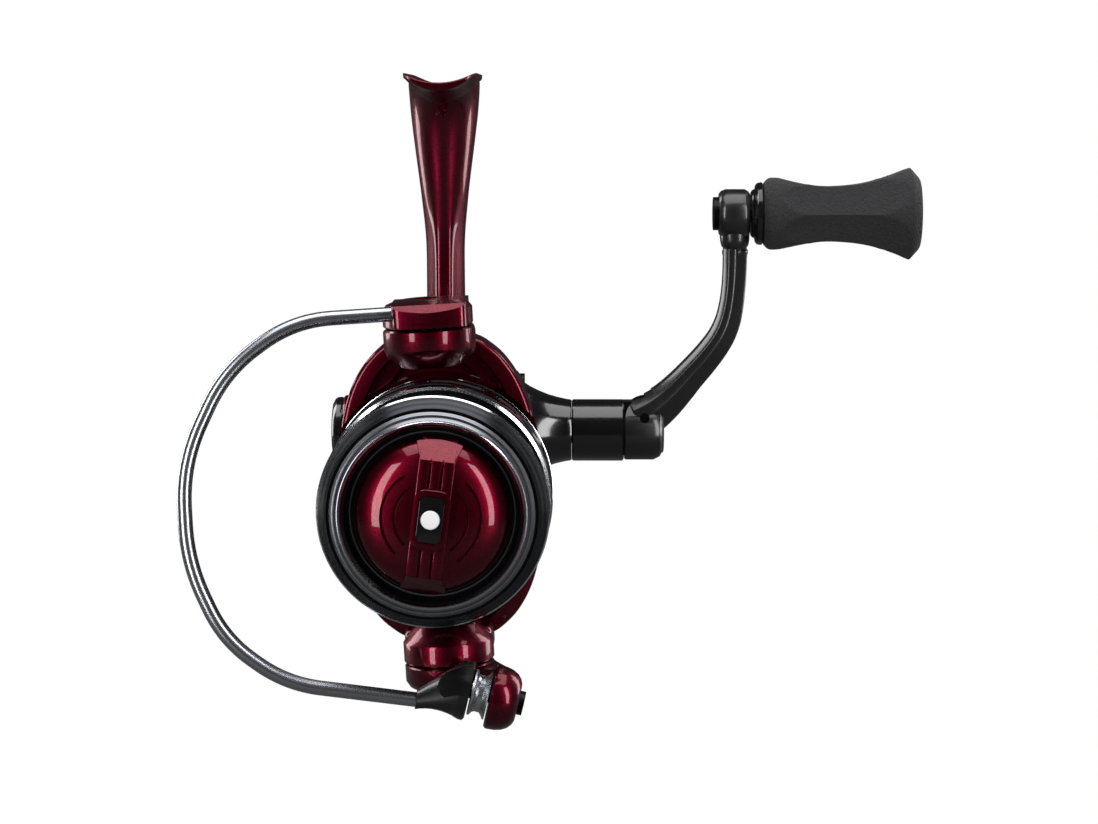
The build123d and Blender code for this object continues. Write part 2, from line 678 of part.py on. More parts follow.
def rotor():
    """Drum, rear plate, two arms and the bosses of the bail pivots."""
    upper = arm_half_outline()
    lower = [(x, -z) for x, z in reversed(upper[1:])]
    right = lower + upper
    left = [(-x, z) for x, z in reversed(right)]
    plate_front = ROTOR_BACK - ARM_THICKNESS
    shell = slab(right + left, plate_front, ROTOR_BACK)
    drum = SKIRT_RADIUS - SKIRT_WALL - SWEEP_GAP
    shell = shell + along_y(drum, DRUM_FRONT, plate_front + 1)
    for side in (-1, 1):
        inner, outer = sorted((side * BOSS_INNER, side * BOSS_OUTER))
        boss = rod(BOSS_RADIUS, (0, 0, inner), (0, 0, outer))
        neck = block((-BOSS_RADIUS, BOSS_RADIUS), (0, ROTOR_BACK), (inner, outer))
        wide_inner, wide_outer = sorted((side * BOSS_INNER, side * ARM_TOP))
        wide = block((-ARM_TOP_HALF, ARM_TOP_HALF), (8.5, ROTOR_BACK), (wide_inner, wide_outer))
        shell = shell + boss + neck + wide
    room = turned(
        [
            (NOSE_RADIUS + SWEEP_GAP, NOSE_FRONT - 1.0),
            (drum - DRUM_WALL, NOSE_FRONT - 1.0),
            (drum - DRUM_WALL, plate_front),
            (NOSE_RADIUS + SWEEP_GAP, plate_front),
        ]
    )
    shell = shell - room - along_y(NOSE_RADIUS + SWEEP_GAP, NOSE_FRONT - 1.0, ROTOR_BACK + 1)
    front_room = along_y(drum - DRUM_WALL, DRUM_FRONT + 2.0, NOSE_FRONT, 7.5)
    shell = shell - front_room - along_y(PINION_RADIUS + PRESS_GAP, DRUM_FRONT - 1, NOSE_FRONT)
    for side in (-1, 1):
        far = side * (BOSS_OUTER + 1)
        shell = shell - rod(PIVOT_RADIUS + RUN_FIT, (0, 0, side * (BOSS_INNER + 1.6)), (0, 0, far))
    deep = BOSS_OUTER - SPRING_DEPTH
    well = rod(SPRING_OUTER + 0.4, (0, 0, deep), (0, 0, BOSS_OUTER + 1))
    return shell - (well - rod(PIVOT_RADIUS + 1.0, (0, 0, deep - 1), (0, 0, BOSS_OUTER + 2)))


def bail_spring():
    """The coil in the upper boss that snaps the bail open or shut."""
    turns = 3
    pitch = (SPRING_DEPTH - 1.6) / turns
    middle = SPRING_OUTER - SPRING_WIRE - 0.3
    line = Helix(pitch, pitch * turns, middle)
    section = Plane(origin=line @ 0, z_dir=line % 0) * Circle(SPRING_WIRE)
    coil = sweep(section, line)
    return Pos(0, 0, BOSS_OUTER - SPRING_DEPTH + SPRING_WIRE + 0.2) * coil


def rotor_nut():
    """The nut that holds the rotor on the pinion."""
    nut = Plane.XZ * extrude(RegularPolygon(7.2, 6), 3.8)
    nut = Pos(0, NUT_FRONT + 3.8, 0) * nut
    return nut - along_y(PINION_RADIUS + PRESS_GAP, NUT_FRONT - 1, NUT_FRONT + 5)


def pinion_gear():
    """The hollow pinion: a long sleeve that carries the rotor, with helical teeth at the back."""
    bore = SHAFT_RADIUS + RUN_FIT
    length = 12.0
    middle_y = HANDLE_Y - 5.6
    sleeve = along_y(PINION_RADIUS, NUT_FRONT + 0.3, middle_y + length / 2 + 0.3, bore)
    sleeve = sleeve + along_y(PINION_TAIL, middle_y, BUSH_BACK - 0.2, bore)
    lead = 50.0
    teeth = []
    root = PINION_RADIUS
    for i in range(PINION_TEETH):
        turn = 360 / PINION_TEETH * i
        outline = [(root - 0.3, -0.75), (PINION_TIP, -0.4), (PINION_TIP, 0.4), (root - 0.3, 0.75)]
        sections = []
        for step in range(5):
            along = -length / 2 + length * step / 4
            face = make_face(Polyline(*outline, close=True))
            twist = turn + 360 * along / lead
            sections.append(Pos(0, 0, along) * Rot(0, 0, twist) * face)
        teeth.append(loft(sections))
    toothed = teeth[0]
    for tooth in teeth[1:]:
        toothed = toothed + tooth
    toothed = Pos(0, middle_y, 0) * Rot(-90, 0, 0) * toothed
    return (sleeve + toothed) - along_y(bore, -5, 60)


def clutch_sleeve():
    """Inner race of the one-way clutch, keyed to the pinion."""
    return along_y(SLEEVE_RADIUS, NOSE_FRONT, BEARING_FRONT - 0.6, PINION_RADIUS + PRESS_GAP)


# ---- bail ----


def wire_plane_y(x, z):
    """Depth of the bail wire's plane."""
    return -9.5 + 0.122 * x + 0.134 * z


def wire_points():
    """Corner points of the bail wire as (x, z), from the upper holder round to the cone."""
    return [
        (-4.6, BAIL_TOP),
        (-28.4, BAIL_TOP),
        (-BAIL_REACH + 10.0, 30.6),
        (-BAIL_REACH, 11.8),
        (-BAIL_REACH, -9.2),
        (-BAIL_REACH + 6.8, -26.0),
        (-34.0, -36.3),
        (-4.5, -42.3),
    ]


def bail_wire():
    """The one-piece bail wire: straight runs joined by large bends, in one tilted plane."""
    normal = Vector(0.122, -1, 0.134).normalized()
    corners = [Vector(x, wire_plane_y(x, z), z) for x, z in wire_points()]
    place = Plane(origin=corners[0], x_dir=corners[1] - corners[0], z_dir=normal)
    flat = [place.to_local_coords(corner) for corner in corners]
    points = [(p.X, p.Y) for p in flat]
    path = place * FilletPolyline(*points, radius=arc_radii(points))
    section = Plane(origin=path @ 0, z_dir=path % 0) * Circle(WIRE_RADIUS)
    return sweep(section, path)


def bail_holder():
    """The upper side piece: a round cam plate with the block that grips the wire."""
    low = BOSS_OUTER + SIDE_GAP
    high = low + BAIL_LAYER
    plate = rod(BOSS_RADIUS - 0.1, (0, 0, low), (0, 0, high))
    lug = block((-7.2, 9.0), (-11.5, 0), (low, high - 0.6))
    holder = plate + lug
    holder = holder - socket(corner_pair(0, 1), WIRE_RADIUS + PRESS_GAP)
    return holder - rod(PIVOT_RADIUS + PRESS_GAP, (0, 0, low - 1), (0, 0, high - 1.4))


def corner_pair(first, second):
    """Two of the wire's corner points in space."""
    points = wire_points()
    ends = [points[first], points[second]]
    return [Vector(x, wire_plane_y(x, z), z) for x, z in ends]


def socket(ends, radius):
    """The straight hole that the wire's end sits in."""
    start, far = ends
    way = (far - start).normalized()
    near = start - way * 0.01
    return rod(radius, tuple(near), tuple(start + way * 9))


def roller_axis(distance):
    """A point on the line roller's axle, a distance to the right of the roller's middle."""
    slope = math.radians(ROLLER_SLOPE)
    x = ROLLER_X + distance * math.cos(slope)
    z = ROLLER_Z - distance * math.sin(slope)
    return (x, ROLLER_Y, z)


def bail_arm():
    """The lower side piece: a round plate on the pivot, reaching forward to the roller's outer end."""
    low = -BOSS_OUTER - SIDE_GAP - BAIL_LAYER
    high = -BOSS_OUTER - SIDE_GAP
    plate = rod(BOSS_RADIUS - 0.1, (0, 0, low), (0, 0, high))
    start = ROLLER_HALF + SIDE_GAP
    cap = rod(CONE_RADIUS + 0.6, roller_axis(start), roller_axis(start + ARM_CAP))
    near_end = Pos(4.5, 0, 0) * Circle(5.4)
    far_end = Pos(ROLLER_X + 4.2, ROLLER_Y + 3.0, 0) * Circle(3.2)
    reach = make_hull([*near_end.edges(), *far_end.edges()])
    bridge = Pos(0, 0, low + 0.4) * extrude(reach, BAIL_LAYER - 0.6)
    keep_out = rod(CONE_RADIUS + 0.8, roller_axis(-12), roller_axis(start))
    arm = plate + (bridge - keep_out) + cap
    arm = arm - rod(PIVOT_RADIUS + PRESS_GAP, (0, 0, low + 1.4), (0, 0, high + 1))
    return arm - rod(AXLE_ROD + PRESS_GAP, roller_axis(0), roller_axis(start + ARM_CAP + 1))


def bail_cone():
    """The black cone that joins the wire to the roller's axle."""
    back = -ROLLER_HALF - SIDE_GAP
    large = roller_axis(back)
    drum = rod(CONE_RADIUS, roller_axis(back - CONE_LENGTH), large)
    start, far = corner_pair(7, 6)
    way = (far - start).normalized()
    tip = start + way * 2.6
    end_face = Plane(origin=tuple(tip), z_dir=way) * Circle(WIRE_RADIUS + 0.55)
    lean = Vector(*roller_axis(0)) - Vector(*roller_axis(1))
    wide_face = Plane(origin=roller_axis(back - CONE_LENGTH + 0.2), z_dir=lean) * Circle(CONE_RADIUS - 0.1)
    cone = drum + loft([wide_face, end_face])
    cone = cone - socket([start, far], WIRE_RADIUS + PRESS_GAP)
    return cone - rod(AXLE_ROD + PRESS_GAP, roller_axis(back - 3.0), roller_axis(1))


def roller_screw():
    """The axle screw of the line roller, headed at the arm's outer face."""
    head = ROLLER_HALF + SIDE_GAP + ARM_CAP
    screw = rod(AXLE_ROD, roller_axis(-ROLLER_HALF - 3.0), roller_axis(head))
    screw = screw + rod(2.6, roller_axis(head), roller_axis(head + 1.2))
    return screw - rod(1.2, roller_axis(head + 0.6), roller_axis(head + 2))


def line_roller():
    """The waisted roller that guides the line onto the spool."""
    half = ROLLER_HALF
    waist = ROLLER_RADIUS - 1.3
    profile = [
        (-half, ROLLER_BEARING + PRESS_GAP),
        (-half, ROLLER_RADIUS - 0.4),
        (-half + 1.4, waist),
        (half - 1.0, waist),
        (half, ROLLER_RADIUS),
        (half, ROLLER_BEARING + PRESS_GAP),
    ]
    shape = revolve(make_face(Polyline(*profile, close=True)), Axis.X)
    return Pos(ROLLER_X, ROLLER_Y, ROLLER_Z) * Rot(0, ROLLER_SLOPE, 0) * shape


def roller_bearing():
    """The small bearing inside the line roller."""
    half = ROLLER_HALF - 0.2
    ring = rod(ROLLER_BEARING, roller_axis(-half), roller_axis(half))
    return ring - rod(AXLE_ROD + RUN_FIT, roller_axis(-half - 1), roller_axis(half + 1))


def pivot_screws():
    """The two screws that the bail swings on."""
    screws = []
    for side in (-1, 1):
        inner = side * (BOSS_INNER + 2.0)
        outer = side * (BOSS_OUTER + SIDE_GAP + BAIL_LAYER - 1.5)
        screws.append(rod(PIVOT_RADIUS, (0, 0, inner), (0, 0, outer)))
    return group(screws)


# ---- main shaft, spool and drag ----


def main_shaft():
    """The long shaft that carries the spool, threaded at its front."""
    return along_y(SHAFT_RADIUS, SHAFT_FRONT, SHAFT_BACK)


def slider():
    """The block on the shaft's tail that the crank pin pushes to and fro."""
    front, back = SLIDER_FRONT + STROKE, SLIDER_FRONT + STROKE + SLIDER_LENGTH
    half = 4.6
    body = block((-half, half), (front, back), (-SLIDER_HALF, SLIDER_HALF))
    slot = block((-half - 1, -half + 1.6), (front + 1.0, back - 1.0), (-SLIDER_HALF - 1, SLIDER_HALF + 1))
    body = body - slot - along_y(SHAFT_RADIUS + PRESS_GAP, front - 1, back + 1)
    for side in (-1, 1):
        z = side * GUIDE_DROP
        body = body - rod(GUIDE_RADIUS + RUN_FIT, (0, front - 1, z), (0, back + 1, z))
    return body


def spool_seat():
    """The keyed washer that the spool rests on."""
    return along_y(7.0, BULKHEAD_BACK + 0.02, BULKHEAD_BACK + 0.8, SHAFT_RADIUS + PRESS_GAP)


def spool():
    """Lip, line arbor and skirt in one piece, open at the front for the drag and knob."""
    profile = [
        (SHAFT_RADIUS + RUN_FIT, DRAG_FLOOR),
        (DRAG_BORE, DRAG_FLOOR),
        (DRAG_BORE, RECESS_FLOOR),
        (LIP_INNER, RECESS_FLOOR),
        (LIP_INNER, RING_BACK),
        (RING_OUTER, RING_BACK),
        (RING_OUTER + 0.6, RING_BACK),
        (LIP_RADIUS, LIP_Y),
        (LIP_RADIUS, LIP_Y + LIP_EDGE),
        (ARBOR_RADIUS, ARBOR_FRONT),
        (ARBOR_RADIUS, ARBOR_BACK),
        (SKIRT_RADIUS, ARBOR_BACK + 0.4),
        (SKIRT_RADIUS, SKIRT_BACK),
        (SKIRT_RADIUS - SKIRT_WALL, SKIRT_BACK),
        (SKIRT_RADIUS - SKIRT_WALL, BULKHEAD_BACK),
        (SHAFT_RADIUS + RUN_FIT, BULKHEAD_BACK),
    ]
    return turned(profile)


def lip_ring():
    """The hard polished ring set into the front of the lip."""
    profile = [
        (LIP_INNER, RING_BACK - PRESS_GAP),
        (LIP_INNER, LIP_FRONT + 0.3),
        (LIP_INNER + 0.3, LIP_FRONT),
        (RING_OUTER - 0.9, LIP_FRONT),
        (RING_OUTER, RING_BACK - PRESS_GAP),
    ]
    return turned(profile)


def drag_washers():
    """The stack of drag washers: metal and felt in turn."""
    washers = []
    for i in range(WASHER_COUNT):
        back = DRAG_FLOOR - i * (WASHER_THICKNESS + 0.02)
        radius = DRAG_BORE - (0.6 if i % 2 else 0.3)
        washers.append(along_y(radius, back - WASHER_THICKNESS, back - 0.02, SHAFT_RADIUS + 0.3))
    return group(washers)


def washer_clip():
    """The spring clip that keeps the washers in the spool."""
    ring = along_y(DRAG_BORE - 0.05, WASHERS_FRONT - 1.0, WASHERS_FRONT - 0.2, DRAG_BORE - 1.2)
    gap = block((-2.5, 2.5), (WASHERS_FRONT - 2, WASHERS_FRONT + 1), (-DRAG_BORE - 1, -DRAG_BORE + 3))
    return ring - gap


def drag_presser():
    """The keyed plate that the drag knob's spring pushes against the washers."""
    return along_y(DRAG_BORE - 1.8, PRESSER_FRONT, PRESSER_BACK, SHAFT_RADIUS + RUN_FIT)


def drag_knob():
    """The front knob: a shallow dome with a raised grip bar across it and a hollow back."""
    dome = turned(
        [
            (0, KNOB_BACK),
            (KNOB_RADIUS, KNOB_BACK),
            (KNOB_RADIUS, KNOB_RIM),
            (KNOB_RADIUS - 1.6, KNOB_RIM - 1.7),
            (KNOB_RADIUS - 6.0, KNOB_FRONT + 0.9),
            (0, KNOB_FRONT + 0.7),
        ]
    )
    bar = block((-4.2, 4.2), (KNOB_FRONT, KNOB_BACK), (-KNOB_RADIUS, KNOB_RADIUS))
    limit = turned(
        [
            (0, KNOB_BACK),
            (KNOB_RADIUS, KNOB_BACK),
            (KNOB_RADIUS, KNOB_RIM),
            (KNOB_RADIUS - 5.0, KNOB_FRONT),
            (0, KNOB_FRONT),
        ]
    )
    knob = dome + (bar & limit)
    knob = knob + along_y(KNOB_HUB, KNOB_BACK - 1, PRESSER_FRONT - 2.4)
    knob = knob - along_y(KNOB_RADIUS - 1.8, KNOB_RIM + 1.4, KNOB_BACK + 1, KNOB_HUB)
    knob = knob - along_y(NUT_SIZE + PRESS_GAP, KNOB_RIM, KNOB_BACK + 8)
    return knob - block((-3.2, 3.2), (KNOB_FRONT - 1, KNOB_FRONT + 1.0), (-5.9, 5.9))


def drag_nut():
    """The nut that runs on the shaft's thread and turns with the knob."""
    nut = along_y(NUT_SIZE, KNOB_RIM + 0.2, PRESSER_FRONT - 2.5, SHAFT_RADIUS + RUN_FIT)
    return nut


def drag_spring():
    """The wave spring between the nut and the presser plate."""
    return along_y(NUT_SIZE - 0.1, PRESSER_FRONT - 2.3, PRESSER_FRONT - 0.1, SHAFT_RADIUS + 0.4)


def knob_insert():
    """The black inlay in the middle of the knob's grip bar."""
    outer = block((-3.15, 3.15), (KNOB_FRONT - 0.1, KNOB_FRONT + 1.0), (-5.85, 5.85))
    return outer - along_y(2.25, KNOB_FRONT - 1, KNOB_FRONT + 0.5)


def knob_disc():
    """The plain round disc set into the inlay."""
    return along_y(2.2, KNOB_FRONT - 0.25, KNOB_FRONT + 0.45)


# ---- writing the files ----

TO_FOOT = Pos(0, -SEAT_Y, -SEAT_HEIGHT)
ROTOR_TURN = Rot(0, REST_TURN, 0)
KNOB_TURN = Rot(0, 7.0, 0)

STILL_NODES = {
    "body_housing": body_housing,
    "side_cover": side_cover,
    "cover_screws": cover_screws,
    "rear_cover": rear_cover,
    "handle_hole_cap": handle_hole_cap,
    "left_bearing": lambda: side_bearing(LEFT_BOSS_END + 1.1),
    "right_bearing": lambda: side_bearing(RIGHT_BEARING),
    "front_bearing": lambda: shaft_bearing(BEARING_RADIUS, PINION_RADIUS + RUN_FIT, BEARING_FRONT, BEARING_BACK),
    "rear_bush": rear_bush,
    "clutch_ring": clutch_ring,
    "clutch_rollers": clutch_rollers,
    "clutch_plate": clutch_plate,
    "guide_rods": guide_rods,
    "oscillation_stud": oscillation_stud,
    "drive_gear": drive_gear,
    "drive_shaft": drive_shaft,
    "oscillation_pinion": oscillation_pinion,
    "oscillation_gear": oscillation_gear,
    "crank_pin": crank_pin,
    "handle_collar": handle_collar,
    "handle_arm": handle_arm,
    "fold_pin": fold_pin,
    "knob_axle": knob_axle,
    "knob_collar": knob_collar,
    "knob_grip": knob_grip,
    "knob_core": knob_core,
    "knob_bushes": knob_bushes,
    "knob_end_cap": knob_end_cap,
    "main_shaft": main_shaft,
    "slider": slider,
    "spool_seat": spool_seat,
    "spool": spool,
    "lip_ring": lip_ring,
    "drag_washers": drag_washers,
    "washer_clip": washer_clip,
    "drag_presser": drag_presser,
}
ROTOR_NODES = {
    "rotor": rotor,
    "bail_spring": bail_spring,
    "rotor_nut": rotor_nut,
    "pinion_gear": pinion_gear,
    "clutch_sleeve": clutch_sleeve,
    "bail_wire": bail_wire,
    "bail_holder": bail_holder,
    "bail_arm": bail_arm,
    "bail_cone": bail_cone,
    "roller_screw": roller_screw,
    "line_roller": line_roller,
    "roller_bearing": roller_bearing,
    "pivot_screws": pivot_screws,
}
KNOB_NODES = {
    "drag_knob": drag_knob,
    "drag_nut": drag_nut,
    "drag_spring": drag_spring,
    "knob_insert": knob_insert,
    "knob_disc": knob_disc,
}

os.makedirs("parts", exist_ok=True)
for nodes, turn in ((STILL_NODES, Pos(0, 0, 0)), (ROTOR_NODES, ROTOR_TURN), (KNOB_NODES, KNOB_TURN)):
    for name, make in nodes.items():
        export_step(TO_FOOT * turn * make(), f"parts/{name}.step")
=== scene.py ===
"""Looks of an open-face spinning reel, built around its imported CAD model.

Every new piece is modelled in millimetres in the reel's working frame, where the spool axis is the
Y axis, the spool looks along -Y, the foot is up and the handle is on the right. Delivering a piece
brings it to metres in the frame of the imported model.
"""

from __future__ import annotations

import json
import logging
import math
from collections.abc import Callable
from dataclasses import dataclass, field
from enum import Enum

import bpy
from mathutils import Matrix, Vector

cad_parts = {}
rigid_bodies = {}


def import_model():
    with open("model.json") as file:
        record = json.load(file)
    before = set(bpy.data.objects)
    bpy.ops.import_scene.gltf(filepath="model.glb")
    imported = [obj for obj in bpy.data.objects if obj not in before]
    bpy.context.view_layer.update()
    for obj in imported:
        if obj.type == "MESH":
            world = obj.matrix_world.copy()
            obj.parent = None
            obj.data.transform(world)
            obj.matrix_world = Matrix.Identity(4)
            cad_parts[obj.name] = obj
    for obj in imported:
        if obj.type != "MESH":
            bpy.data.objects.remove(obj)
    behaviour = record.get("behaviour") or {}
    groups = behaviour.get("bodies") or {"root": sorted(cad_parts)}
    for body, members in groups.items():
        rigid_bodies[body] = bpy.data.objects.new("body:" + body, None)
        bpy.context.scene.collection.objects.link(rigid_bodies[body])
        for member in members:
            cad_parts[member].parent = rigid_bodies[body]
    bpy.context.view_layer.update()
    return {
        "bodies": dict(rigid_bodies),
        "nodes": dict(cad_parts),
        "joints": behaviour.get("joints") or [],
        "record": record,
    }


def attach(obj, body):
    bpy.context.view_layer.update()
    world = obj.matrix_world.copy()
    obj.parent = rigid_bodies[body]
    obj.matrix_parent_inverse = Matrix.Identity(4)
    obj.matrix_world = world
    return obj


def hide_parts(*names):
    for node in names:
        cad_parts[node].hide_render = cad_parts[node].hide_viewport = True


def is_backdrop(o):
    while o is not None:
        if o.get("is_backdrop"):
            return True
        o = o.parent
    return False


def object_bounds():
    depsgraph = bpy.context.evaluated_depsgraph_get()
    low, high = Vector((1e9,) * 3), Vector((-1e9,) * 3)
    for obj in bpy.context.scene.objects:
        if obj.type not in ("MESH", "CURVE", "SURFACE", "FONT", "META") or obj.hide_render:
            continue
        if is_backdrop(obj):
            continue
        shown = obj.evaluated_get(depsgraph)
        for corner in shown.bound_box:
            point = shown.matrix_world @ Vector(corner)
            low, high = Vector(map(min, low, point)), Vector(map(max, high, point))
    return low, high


LOG = logging.getLogger("reel")
MM = 0.001
Point = tuple[float, float]

# The working frame.
MIDDLE = Vector((0, 0, 0))
RIGHT = Vector((1, 0, 0))
BACK = Vector((0, 1, 0))
UP = Vector((0, 0, 1))


# ---------------------------------------------------------------- frame


class ReelFrame:
    """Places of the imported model, given in millimetres in the working frame."""

    def __init__(self, frame: dict) -> None:
        """Reads the joints.
        """
        self.nodes: dict = frame["nodes"]
        self.joints: dict = {joint["name"]: joint for joint in frame["joints"]}
        self.origin = Vector(self.joints["rotor_spin"]["pos_m"])
        up = Vector(self.joints["bail_swing"]["axis"])
        self.rest_turn = math.atan2(up.x, up.z)

    def to_row(self) -> Matrix:
        """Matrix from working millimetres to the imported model's metres."""
        return Matrix.Translation(self.origin) @ Matrix.Scale(MM, 4)

    def rotor_turn(self) -> Matrix:
        """Turn of the rotor about the spool axis at rest."""
        return Matrix.Rotation(self.rest_turn, 4, "Y")


# ---------------------------------------------------------------- finishes


class Grain(Enum):
    """How a surface was made, which decides its fine relief."""

    PLAIN = "plain"
    FLAKE = "flake"
    CAST = "cast"
    TURNED = "turned"
    BRUSHED = "brushed"
    FOAM = "foam"
    MOULDED = "moulded"


def linear(hex_colour: str) -> tuple[float, float, float, float]:
    """Turns an sRGB hex value to linear colour.

    Args:
        hex_colour: such as "5a0a1c".

    Returns:
        Red, green, blue and alpha.
    """
    channels = [int(hex_colour[i : i + 2], 16) / 255 for i in (0, 2, 4)]
    bent = [c / 12.92 if c <= 0.04045 else ((c + 0.055) / 1.055) ** 2.4 for c in channels]
    return (bent[0], bent[1], bent[2], 1.0)


def add_node(tree: bpy.types.NodeTree, kind: str, settings: dict, links: dict) -> bpy.types.Node:
    """Adds one shader node.

    Args:
        tree: the material's tree.
        kind: the node's type.
        settings: property names, or input names, to values.
        links: input names to output sockets.

    Returns:
        The node.
    """
    node = tree.nodes.new(kind)
    for name, value in settings.items():
        if name in node.inputs:
            node.inputs[name].default_value = value
        else:
            setattr(node, name, value)
    for name, socket in links.items():
        tree.links.new(socket, node.inputs[name])
    return node


@dataclass(frozen=True)
class Finish:
    """One real material with the way its surface was made."""

    name: str
    colour: str
    roughness: float
    metallic: float = 0.0
    coat: float = 0.0
    coat_roughness: float = 0.03
    sheen: float = 0.0
    ior: float = 1.5
    grain: Grain = Grain.PLAIN
    grain_mm: float = 0.5
    relief_mm: float = 0.01
    second_colour: str = ""
    rough_spread: float = 0.05
    axis: str = "Y"
    centre: tuple[float, float, float] = (0.0, 0.0, 0.0)

    def build(self) -> bpy.types.Material:
        """Makes the node material.

        Returns:
            The material, made once for each name.
        """
        found = bpy.data.materials.get(self.name)
        if found is not None:
            return found
        material = bpy.data.materials.new(self.name)
        material.use_nodes = True
        tree = material.node_tree
        tree.nodes.clear()
        output = tree.nodes.new("ShaderNodeOutputMaterial")
        shader = add_node(
            tree,
            "ShaderNodeBsdfPrincipled",
            {
                "Base Color": linear(self.colour),
                "Metallic": self.metallic,
                "Roughness": self.roughness,
                "Coat Weight": self.coat,
                "Coat Roughness": self.coat_roughness,
                "Sheen Weight": self.sheen,
                "IOR": self.ior,
            },
            {},
        )
        tree.links.new(shader.outputs["BSDF"], output.inputs["Surface"])
        pattern, height = self.pattern(tree)
        self.vary(tree, shader, pattern)
        if self.relief_mm > 0:
            bump = add_node(
                tree,
                "ShaderNodeBump",
                {"Strength": 1.0, "Distance": self.relief_mm * MM},
                {"Height": height},
            )
            tree.links.new(bump.outputs["Normal"], shader.inputs["Normal"])
        return material

    def coordinates(self, tree: bpy.types.NodeTree, scale: Vector) -> bpy.types.NodeSocket:
        """Object coordinates, centred on the finish's own centre and scaled.

        Args:
            tree: the material's tree.
            scale: scale along each axis.

        Returns:
            The vector socket.
        """
        source = tree.nodes.new("ShaderNodeTexCoord")
        middle = Vector(self.centre)
        shift = Vector((-middle.x * scale.x, -middle.y * scale.y, -middle.z * scale.z))
        mapping = add_node(
            tree,
            "ShaderNodeMapping",
            {"Scale": scale, "Location": shift},
            {"Vector": source.outputs["Object"]},
        )
        return mapping.outputs["Vector"]

    def pattern(
        self, tree: bpy.types.NodeTree
    ) -> tuple[bpy.types.NodeSocket, bpy.types.NodeSocket]:
        """The fine pattern of this grain.

        Args:
            tree: the material's tree.

        Returns:
            A factor for colour and roughness, and a height for relief.
        """
        per_metre = 1.0 / (self.grain_mm * MM)
        if self.grain is Grain.TURNED:
            rings = self.turned(tree)
            return rings, rings
        stretch = Vector((1.0, 1.0, 1.0))
        if self.grain is Grain.BRUSHED:
            long_way = "XYZ".index(self.axis)
            stretch[long_way] = 0.04
        place = self.coordinates(tree, stretch)
        if self.grain is Grain.FLAKE:
            cells = add_node(tree, "ShaderNodeTexVoronoi", {"Scale": per_metre}, {"Vector": place})
            split = add_node(tree, "ShaderNodeSeparateColor", {}, {"Color": cells.outputs["Color"]})
            settings = {"Scale": per_metre * 0.12, "Detail": 2.0}
            noise = add_node(tree, "ShaderNodeTexNoise", settings, {"Vector": place})
            return split.outputs["Red"], noise.outputs["Fac"]
        if self.grain is Grain.FOAM:
            settings = {"Scale": per_metre, "Randomness": 1.0}
            cells = add_node(tree, "ShaderNodeTexVoronoi", settings, {"Vector": place})
            settings = {"Scale": per_metre * 1.7, "Detail": 4.0}
            noise = add_node(tree, "ShaderNodeTexNoise", settings, {"Vector": place})
            both = add_node(tree, "ShaderNodeMath", {"operation": "MULTIPLY_ADD"}, {})
            both.inputs[1].default_value = 0.6
            tree.links.new(cells.outputs["Distance"], both.inputs[0])
            tree.links.new(noise.outputs["Fac"], both.inputs[2])
            return noise.outputs["Fac"], both.outputs["Value"]
        detail = 6.0 if self.grain is Grain.CAST else 3.0
        noise = add_node(
            tree, "ShaderNodeTexNoise", {"Scale": per_metre, "Detail": detail}, {"Vector": place}
        )
        return noise.outputs["Fac"], noise.outputs["Fac"]

    def turned(self, tree: bpy.types.NodeTree) -> bpy.types.NodeSocket:
        """Fine lathe rings round an axis.

        Args:
            tree: the material's tree.

        Returns:
            The ring pattern.
        """
        scale = Vector((1.0, 1.0, 1.0))
        place = self.coordinates(tree, scale)
        rings = add_node(
            tree,
            "ShaderNodeTexWave",
            {
                "wave_type": "RINGS",
                "rings_direction": self.axis,
                "Scale": 0.314 / (self.grain_mm * MM),
                "Distortion": 0.6,
                "Detail": 2.0,
            },
            {"Vector": place},
        )
        return rings.outputs["Fac"]

    def vary(
        self, tree: bpy.types.NodeTree, shader: bpy.types.Node, pattern: bpy.types.NodeSocket
    ) -> None:
        """Lets the pattern change colour and roughness.

        Args:
            tree: the material's tree.
            shader: the Principled node.
            pattern: the factor socket.
        """
        rough = add_node(
            tree,
            "ShaderNodeMapRange",
            {
                "To Min": max(0.02, self.roughness - self.rough_spread),
                "To Max": min(1.0, self.roughness + self.rough_spread),
            },
            {"Value": pattern},
        )
        tree.links.new(rough.outputs["Result"], shader.inputs["Roughness"])
        if not self.second_colour:
            return
        mix = add_node(tree, "ShaderNodeMix", {"data_type": "RGBA"}, {})
        mix.inputs[6].default_value = linear(self.colour)
        mix.inputs[7].default_value = linear(self.second_colour)
        tree.links.new(pattern, mix.inputs[0])
        tree.links.new(mix.outputs[2], shader.inputs["Base Color"])


# Candy lacquer: metal flake under a clear red coat, deep and nearly black where it reflects dark.
CANDY_LACQUER = Finish(
    "candy_lacquered_aluminium", "6c0620", 0.36, metallic=1.0, coat=0.55, coat_roughness=0.04,
    grain=Grain.FLAKE, grain_mm=0.22, relief_mm=0.003, second_colour="430212", rough_spread=0.06,
)
# Gloss black lacquer over cast metal: mirror-like, with a faint orange peel.
BLACK_LACQUER = Finish(
    "black_lacquered_casting", "0b0b0d", 0.16, coat=0.6, coat_roughness=0.05,
    grain=Grain.CAST, grain_mm=2.2, relief_mm=0.006, second_colour="101013", rough_spread=0.03,
)
# Finely ground steel roller: broad soft streaks, never a mirror.
GROUND_ROLLER = Finish(
    "fine_ground_steel_roller", "c4c8ce", 0.28, metallic=1.0,
    grain=Grain.TURNED, grain_mm=0.4, relief_mm=0.0003, second_colour="b4b8be", rough_spread=0.03,
)
# Satin black paint of the handle arm: soft wide highlights.
SATIN_PAINT = Finish(
    "satin_painted_arm", "131315", 0.30, coat=0.35, coat_roughness=0.12,
    grain=Grain.CAST, grain_mm=1.2, relief_mm=0.001, second_colour="19191b", rough_spread=0.03,
)
